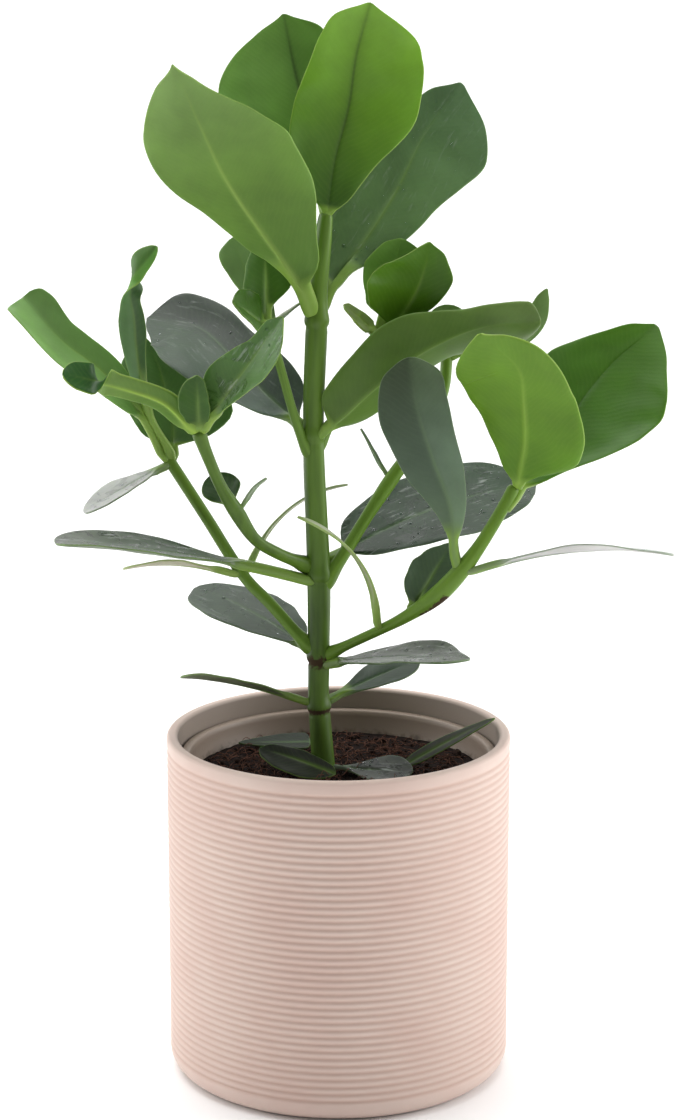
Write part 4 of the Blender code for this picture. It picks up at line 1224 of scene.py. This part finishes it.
RIGHT_LOW = (
    Leaf("leaf_right_low_arc", "branch_right_low:1", (-16, -32, 238), (1, 0.2, 1), arch=9, fold=4,
         left=(1.5, 3, 4, 4, 3.5, 2.5, 1), upper=("8a966c",), under=("8a966c",)),
    Leaf("leaf_right_low_round", "branch_right_low:2", (45.5, 0, 220.5), (0, -1, 0), fold=8,
         stalk=0.0, stem=1.8, clear=2.5, tone=Tone.DEEP,
         left=(4, 7, 9, 9.5, 10, 10, 8.5, 7.5, 5.5, 2.5, 1),
         right=(1, 2, 3.5, 4.5, 5, 5.5, 5.5, 5.5, 5, 2.5, 1), upper=("40523c",)),
    Leaf("leaf_right_low_dark", "branch_right_low:4", (27, -32, 301), (-1, -5, 1), arch=2,
         lean=(-0.4, 2.6, 0.4, -1, 0), fold=10, stalk=0.08, stem=1.9, flare=0.2, clear=3.5, sink=2,
         tone=Tone.GREY, painted_light_right=0.5,
         left=(1, 4, 7, 9.5, 12, 13.5, 14.5, 15.5, 14.5, 12, 6.5),
         right=(1.5, 4, 6.5, 9, 11, 11.5, 12, 12.5, 12.5, 12, 7),
         upper=("62785a", "526450", "3e4e34")),
    # Painted reflection: its near-white colours on both sides stand for the white sheen that the
    # glossy leaf shows edge-on.
    Leaf("leaf_right_low_silver", "branch_right_low:4", (130, -42, 225), (0, 1, 4), width=30,
         arch=5, fold=6, clear=1.8, tone=Tone.GREY, drops=10, wet=0.3, upper=("c0c4c0",),
         under=("b2b2b0",)),
    Leaf("leaf_right_low_lime", "branch_right_low:7", (54, -46, 312.4), (1, 5, 1), arch=2,
         lean=(-3, -8, -10.5, -11, 0), fold=8, stalk=0.015, stem=2.2, tone=Tone.YOUNG,
         left=(9, 20.5, 23, 22.8, 21.3, 19.5, 17.3, 14.3, 10.8, 6.8, 1),
         right=(5, 8.5, 12.5, 15.5, 18.5, 22, 25, 25.5, 25.5, 22.5, 5),
         under=("568018", "5a811c", "608628"), pale_rib_and_crease_shade=0.5),
    Leaf("leaf_right_low_far", "branch_right_low:6", (128, 22, 305.3), (-1, -4, 2),
         lean=(0, -2, -3.7, -4, 0), fold=8, stem=2.2, clear=6.0,
         left=(6, 9.5, 13, 16.5, 19.5, 22, 22.5, 17.5, 12, 8, 3),
         right=(4, 9, 15.5, 22.5, 28, 31, 32.5, 30, 26, 16, 5),
         upper=("3e6a0c", "3e6a10", "467218"), pale_rib_and_crease_shade=-0.3),
)

RIGHT_HIGH = (
    Leaf("leaf_right_high_end", "branch_right_high:6", (85, 36, 318), (-1, -2, 1),
         lean=(0, 4, 8, 8, 0), fold=10, tone=Tone.DEEP, left=(2, 4, 6, 7, 7, 6.5, 5, 3, 1),
         upper=("5f7e3e",)),
    Leaf("leaf_right_high_bud", "branch_right_high:6", (45, 40, 311), (0, -1, 0), width=16, fold=10,
         clear=2.0, tone=Tone.DEEP, upper=("5f7e3e",)),
    Leaf("leaf_right_high_sliver", "branch_right_high:3", (9, 27, 262), (1, 1, 3), stem=0.9,
         tone=Tone.GREY, left=(1, 2, 2.5, 2, 1.5, 0.8)),
)

LEAVES = (CROWN + STEM_PAIRS + SOIL_LEAVES + LEFT_LOW + LEFT_HIGH + SHOOT_LEAVES + RIGHT_LOW
          + RIGHT_HIGH)


@dataclass
class Blade:
    """The skin of one leaf: a round stalk that widens into a thin blade with a keeled rib."""

    leaf: Leaf
    place: Vector                   # middle of the wood that the stalk leaves
    radius: float                   # half the thickness of that wood
    number: int

    lanes: int = 26                 # faces across one side
    thick: float = 0.9              # of the blade, in millimetres
    crease: float = 1.0             # width of the fold along the midrib, in millimetres
    fullness: float = 0.9           # towards the stalk, without half widths; smaller is fuller
    roundness: float = 0.5          # how much each half bows instead of rising straight
    waves: float = 0.016            # how far the margin wanders, as a share of the width
    swells: float = 0.08            # how far the blade buckles, as a share of the width
    keel: float = 0.9               # height of the midrib under the blade, in millimetres
    groove: float = 0.35            # depth of the midrib's groove on top, in millimetres
    rib_upper: float = 0.5          # how pale the midrib is on top
    rib_under: float = 0.95         # and below
    pale_stalk: float = 0.9         # how much of the stalk's own colour the stalk has
    drop_seed: int = 100
    inset: float = field(init=False)
    start: Vector = field(init=False)
    chord: tuple[Vector, Vector, Vector] = field(init=False)

    def __post_init__(self) -> None:
        """Works out where the blade begins and how far its stalk runs into the wood."""
        leaf = self.leaf
        way = (Vector(leaf.tip) - self.place).normalized()
        self.start = self.place + way * (self.radius + leaf.clear)
        chord = Vector(leaf.tip) - self.start
        self.inset = (self.radius + leaf.clear) / chord.length
        forward = chord.normalized()
        up = Vector(leaf.face)
        up = (up - forward * up.dot(forward)).normalized()
        self.chord = (chord, forward.cross(up), up)

    def half_width(self, along: float, side: float) -> float:
        """Half the leaf's width at a share of its length, on its left (-1) or right (1)."""
        leaf = self.leaf
        blade = max(0.0, (along - leaf.stalk) / (1.0 - leaf.stalk))
        if leaf.left:
            end = max(0.0, 1.0 - (1.0 - blade) / leaf.blunt)
            base = max(0.0, 1.0 - blade / 0.07)
            widths = leaf.right if side > 0.0 and leaf.right else leaf.left
            outline = max(0.0, along_curve(widths, blade))
            outline *= math.sqrt((1.0 - end * end) * (1.0 - base * base))
        else:
            bend = math.log(0.5) / math.log(leaf.widest)
            outline = max(0.0, math.sin(math.pi * blade ** bend))
            outline **= self.fullness if blade < leaf.widest else leaf.point
            outline *= 0.5 * leaf.width
        wander = noise.noise(Vector((6.0 * along, 3.0 * side, 5.0 * self.number)))
        outline *= 1.0 + self.waves * wander
        stalk = leaf.stem * min(1.0, 12.0 * (1.0 - along))
        stalk *= 1.0 + leaf.flare * (1.0 - ease(along * self.chord[0].length, -4.0, 8.0))
        return math.hypot(stalk, outline)

    def spine(self, along: float) -> Vector:
        """The midrib's place at a share of its length, or below 0 on the way into the wood."""
        leaf = self.leaf
        chord, right, up = self.chord
        held = max(0.0, along)
        side = along_curve(leaf.lean, held) * ease(along, -self.inset, 0.0) if leaf.lean else 0.0
        rise = leaf.arch * 4.0 * held * (1.0 - held)
        sunk = Vector((0.0, 0.0, leaf.sink * min(0.0, along / self.inset) ** 2))
        return self.start + chord * along + right * side + up * rise - sunk

    def frame(self, along: float) -> tuple[Vector, Vector, Vector]:
        """The midrib's place, and the directions to the leaf's right and to its upper side."""
        leaf = self.leaf
        tangent = (self.spine(along + 0.01) - self.spine(along - 0.01)).normalized()
        up = self.chord[2]
        up = (up - tangent * up.dot(tangent)).normalized()
        degrees = leaf.turn[0] * ease(along, *leaf.turn[1:])
        up = Matrix.Rotation(math.radians(degrees), 3, tangent) @ up
        return self.spine(along), tangent.cross(up), up

    def surface(self, along: float, across: float, upper: bool) -> tuple[Vector, Marks]:
        """A point of the leaf's skin.

        Args:
            along: from a little below 0, inside the wood, to 1 at the tip.
            across: from -1 at the left margin to 1 at the right one.
            upper: which side of the blade.

        Returns:
            The point in millimetres, and what the finish needs to know there.
        """
        leaf = self.leaf
        midrib, right, up = self.frame(along)
        skin = self.inset * leaf.clear / (self.radius + leaf.clear)
        inside = 1.0 - 0.5 * ease(-along, skin, self.inset)
        half = self.half_width(max(0.0, along), math.copysign(1.0, across)) * inside
        blade = ease(half, leaf.stem * 1.05, leaf.stem * 2.6)
        blade = max(blade, ease(along, 0.5, 0.6))
        tilt = math.radians(leaf.fold)
        reach = across * half
        crease = math.hypot(reach * math.sin(tilt), self.crease) - self.crease
        bowed = math.sin(tilt) * half * across * across
        lift = (crease * (1.0 - self.roundness) + bowed * self.roundness) * blade
        spot = Vector((3.0 * along, 1.4 * across, 7.3 * self.number))
        swell = noise.noise(spot) + 0.4 * noise.noise(spot * 2.6)
        lift += self.swells * half * swell * blade * (0.3 + across * across)
        body = (leaf.stem + (0.5 * self.thick - leaf.stem) * blade) * inside
        body *= math.sqrt(max(0.0, 1.0 - abs(across) ** (2.0 + 26.0 * blade)))
        keel = self.keel * (1.0 - ease(along, 0.1, 0.95)) * bump(reach, 0.0, 0.9) * blade
        groove = self.groove * (1.0 - ease(along, 0.3, 1.0)) * bump(reach, 0.0, 0.7) * blade
        height = lift + (body - groove if upper else -body - keel)
        point = midrib + right * (reach * math.cos(tilt * blade)) + up * height
        rib = bump(reach, 0.0, 0.45 + 0.6 * (1.0 - along))
        rib *= self.rib_upper if upper else self.rib_under
        rib *= 1.0 - ease(along, 0.35, 1.0)
        marks = {"upper": 1.0 if upper else 0.0, "across_mm": reach,
                 "edge_mm": half * (1.0 - abs(across)),
                 "along_mm": self.chord[0].length * along,
                 "rib_mm": rib * max(0.0, leaf.pale_rib_and_crease_shade), "wet": leaf.wet * blade if upper else 0.0,
                 "tint": self.tint(along, across, reach, upper, 1.0 - blade)}
        return point, marks

    def tint(self, along: float, across: float, reach: float, upper: bool,
             stalk: float) -> Colour:
        """The leaf's colour at a point of its skin, with painted light and shade.

        Args:
            along: share of the leaf's length.
            across: from -1 at the left margin to 1 at the right one.
            reach: millimetres from the midrib.
            upper: which side of the blade.
            stalk: how much the point is stalk, from 0 to 1, which is paler.

        Returns:
            The colour, darker towards the midrib, with painted shade along a crease.
        """
        leaf = self.leaf
        finish = LEAF_FINISHES[leaf.tone]
        codes = (leaf.upper if upper else leaf.under) or (finish.upper if upper else finish.under,)
        shades = [colour(code) for code in codes] * (2 if len(codes) == 1 else 1)
        # Painted light: one half is painted lighter and the other darker, standing for the sheen
        # and shade on the two halves of the fold.
        side = 1.0 + leaf.painted_light_right * (ease(across, -0.2, 0.2) - 0.5)
        side *= 0.95 + 0.12 * across * across
        # Painted shade: a negative rib value darkens a band along the midrib, standing for the
        # shade in the crease.
        crease = max(0.0, -leaf.pale_rib_and_crease_shade) * bump(along, 0.6, 0.5)
        side *= 1.0 - crease * (0.4 * bump(reach, 0.0, 0.7) + 0.2 * bump(reach, 0.0, 4.0))
        bare = shades[0] if leaf.dull else colour(finish.stalk)
        mixed = [max(0.0, along_curve([shade[part] for shade in shades], along)) * side
                 for part in range(3)]
        mixed = [tint + (bare[part] - tint) * self.pale_stalk * stalk
                 for part, tint in enumerate(mixed)]
        return (mixed[0], mixed[1], mixed[2], 1.0)

    def lane(self, share: float) -> float:
        """Spreads the lanes across a side, closer together at the margins and the midrib."""
        spread = 2.0 * share - 1.0
        return spread - 0.9 * math.sin(FULL_TURN * spread) / FULL_TURN

    def build(self) -> bpy.types.Object:
        """Wraps a grid round the leaf, over its upper side and back under it.

        Returns:
            The leaf.
        """
        steps = round(min(58.0, 16.0 + 0.5 * self.chord[0].length))

        def place(u: float, v: float) -> tuple[Vector, Marks]:
            """A point of the leaf's skin, from its left margin over the top and back."""
            along = (1.0 + self.inset) * (1.0 - (1.0 - v) ** 1.35) - self.inset
            upper = u <= 0.5
            across = self.lane(2.0 * u if upper else 2.0 - 2.0 * u)
            if v <= 0.0:
                across = 0.0
            point, marks = self.surface(along, across, upper)
            if v <= 0.0 or v >= 1.0:
                point = self.frame(along)[0]
            return point, marks

        return wrapped_grid(f"{self.leaf.name}_blade", 2 * self.lanes, steps, place)

    def build_drops(self) -> bpy.types.Object:
        """Sets drops of water on the upper side: one flat dome, copied and sized.

        Returns:
            The drops as one piece.
        """
        chance = random.Random(self.drop_seed + self.number)
        shape, faces = template("uv_sphere", segments=12, ring_count=7, radius=1.0)
        points, skins = [], []
        for _ in range(self.leaf.drops):
            along, across = chance.uniform(0.15, 0.93), chance.uniform(-0.88, 0.88)
            size = 0.3 + 0.6 * chance.random() ** 2.5
            here, _ = self.surface(along, across, True)
            ahead, _ = self.surface(along + 0.01, across, True)
            aside, _ = self.surface(along, across + 0.02, True)
            forward, outward = (ahead - here).normalized(), (aside - here).normalized()
            above = outward.cross(forward).normalized()
            first = len(points)
            for corner in shape:
                flat = 0.4 if corner.z > 0.0 else 0.1
                points.append((here + (outward * corner.x + forward * corner.y
                                       + above * corner.z * flat) * size) * MM)
            skins += [tuple(first + corner for corner in face) for face in faces]
        return piece_from_faces(f"{self.leaf.name}_drops", points, skins)


@dataclass
class Foliage:
    """Every leaf of the plant, and the water on some of them."""

    leaves: tuple[Leaf, ...] = LEAVES

    def place_of(self, name: str) -> tuple[Vector, float]:
        """Gives the middle and half the thickness of the wood at a named place.

        Args:
            name: a place on the stem, or "branch:index of its point".

        Returns:
            The place and the radius, in millimetres.
        """
        if name in STEM_PLACES:
            place, radius = STEM_PLACES[name]
            return Vector(place), radius
        branch_name, index = name.split(":")
        branch = next(limb for limb in BRANCHES if limb.name == branch_name)
        return Vector(branch.line[int(index)]), branch.radii[int(index)]

    def build(self) -> list[tuple[Leaf, bpy.types.Object, bpy.types.Object | None]]:
        """Builds the leaves and their drops.

        Returns:
            Each leaf with its blade and, where it is wet, its drops.
        """
        made = []
        for number, leaf in enumerate(self.leaves):
            place, radius = self.place_of(leaf.grows_from)
            blade = Blade(leaf, place, radius, number)
            drops = blade.build_drops() if leaf.drops else None
            made.append((leaf, blade.build(), drops))
        return made

    def dress(self, made: Iterable[tuple[Leaf, bpy.types.Object, bpy.types.Object | None]]) -> None:
        """Gives each leaf the cuticle of its age, and the drops their water."""
        cuticles = {(tone, dull): replace(finish, dull=dull).make()
                    for tone, finish in LEAF_FINISHES.items()
                    for dull in sorted({leaf.dull for leaf in self.leaves if leaf.tone is tone})}
        water = clear_water()
        for leaf, blade, drops in made:
            finish_piece(blade, cuticles[leaf.tone, leaf.dull], leaf.tone.value, leaf.name)
            if drops is not None:
                finish_piece(drops, water, leaf.tone.value)


# --------------------------------------------------------------------------------- studio


@dataclass
class Studio:
    """A pale floor, soft light from all sides and the camera."""

    camera_place: Place = (0.0006, -1.150, 0.483)
    camera_pitch: float = 13.2
    lens: float = 94.37
    floor_size: float = 60.0
    front_light: float = 0.14       # strength of the tent towards -Y
    back_light: float = 1.10        # and towards +Y
    roof_light: float = 2.1         # watts to a square metre
    left_light: float = 9.0         # watts
    right_light: float = 14.0
    box_size: float = 0.9           # metres

    def build(self) -> None:
        """Makes the floor, the lights, the world and the camera."""
        self.build_floor()
        self.build_lights()
        camera_data = bpy.data.cameras.new("camera")
        camera_data.lens = self.lens
        camera_data.sensor_width = 36.0
        camera_data.clip_end = 100.0
        camera = bpy.data.objects.new("camera", camera_data)
        camera.location = self.camera_place
        camera.rotation_euler = (math.radians(90.0 - self.camera_pitch), 0.0, 0.0)
        bpy.context.scene.collection.objects.link(camera)
        bpy.context.scene.camera = camera
        bpy.context.scene.view_settings.view_transform = "Standard"

    def build_floor(self) -> None:
        """Lays the floor."""
        floor = primitive("plane", size=self.floor_size, location=(0.0, 0.0, 0.0))
        floor.name = "studio_floor"
        floor.data.materials.append(pale_paper())

    def build_lights(self) -> None:
        """Lights a white tent: bright above, at the sides and behind, darker in front."""
        world = bpy.data.worlds.new("white_tent")
        world.use_nodes = True
        bpy.context.scene.world = world
        tree = world.node_tree
        way = add_node(tree, "ShaderNodeSeparateXYZ",
                       {0: add_node(tree, "ShaderNodeTexCoord").outputs["Generated"]})
        level = add_node(tree, "ShaderNodeMapRange",
                         {"Value": way.outputs["Y"], "From Min": -0.9, "From Max": 0.5,
                          "To Min": self.front_light, "To Max": self.back_light})
        tree.links.new(level.outputs[0], tree.nodes["Background"].inputs["Strength"])
        tree.nodes["Background"].inputs["Color"].default_value = colour("ffffff")
        roof = bpy.data.lights.new("tent_roof", "SUN")
        roof.angle = math.radians(60.0)
        roof.energy = self.roof_light
        lamps = [(roof, Vector((-0.2, 0.35, 1.6)))]
        for name, place, power in (("box_left", (-1.5, 0.3, 0.5), self.left_light),
                                   ("box_right", (1.5, 0.1, 0.6), self.right_light)):
            box = bpy.data.lights.new(name, "AREA")
            box.shape = "SQUARE"
            box.size = self.box_size
            box.energy = power
            lamps.append((box, Vector(place)))
        for light, place in lamps:
            lamp = bpy.data.objects.new(light.name, light)
            lamp.location = place
            aim = Vector((0.0, 0.0, 0.25)) - place
            lamp.rotation_euler = aim.to_track_quat("-Z", "Y").to_euler()
            bpy.context.scene.collection.objects.link(lamp)


def main() -> None:
    """Builds the plant and its pots in the CAD frame, then the studio round them."""
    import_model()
    pot = CoverPot()
    pot.dress(pot.build())
    grow_pot = GrowPot()
    grow_pot.dress(grow_pot.build())
    soil = PottingSoil()
    soil.dress(soil.build(), soil.build_crumbs(), soil.build_fibres())
    wood = Wood()
    wood.dress(wood.build())
    foliage = Foliage()
    foliage.dress(foliage.build())
    Studio().build()


if __name__ == "__main__":
    logging.basicConfig(level=logging.INFO, format="%(name)s: %(message)s")
    main()
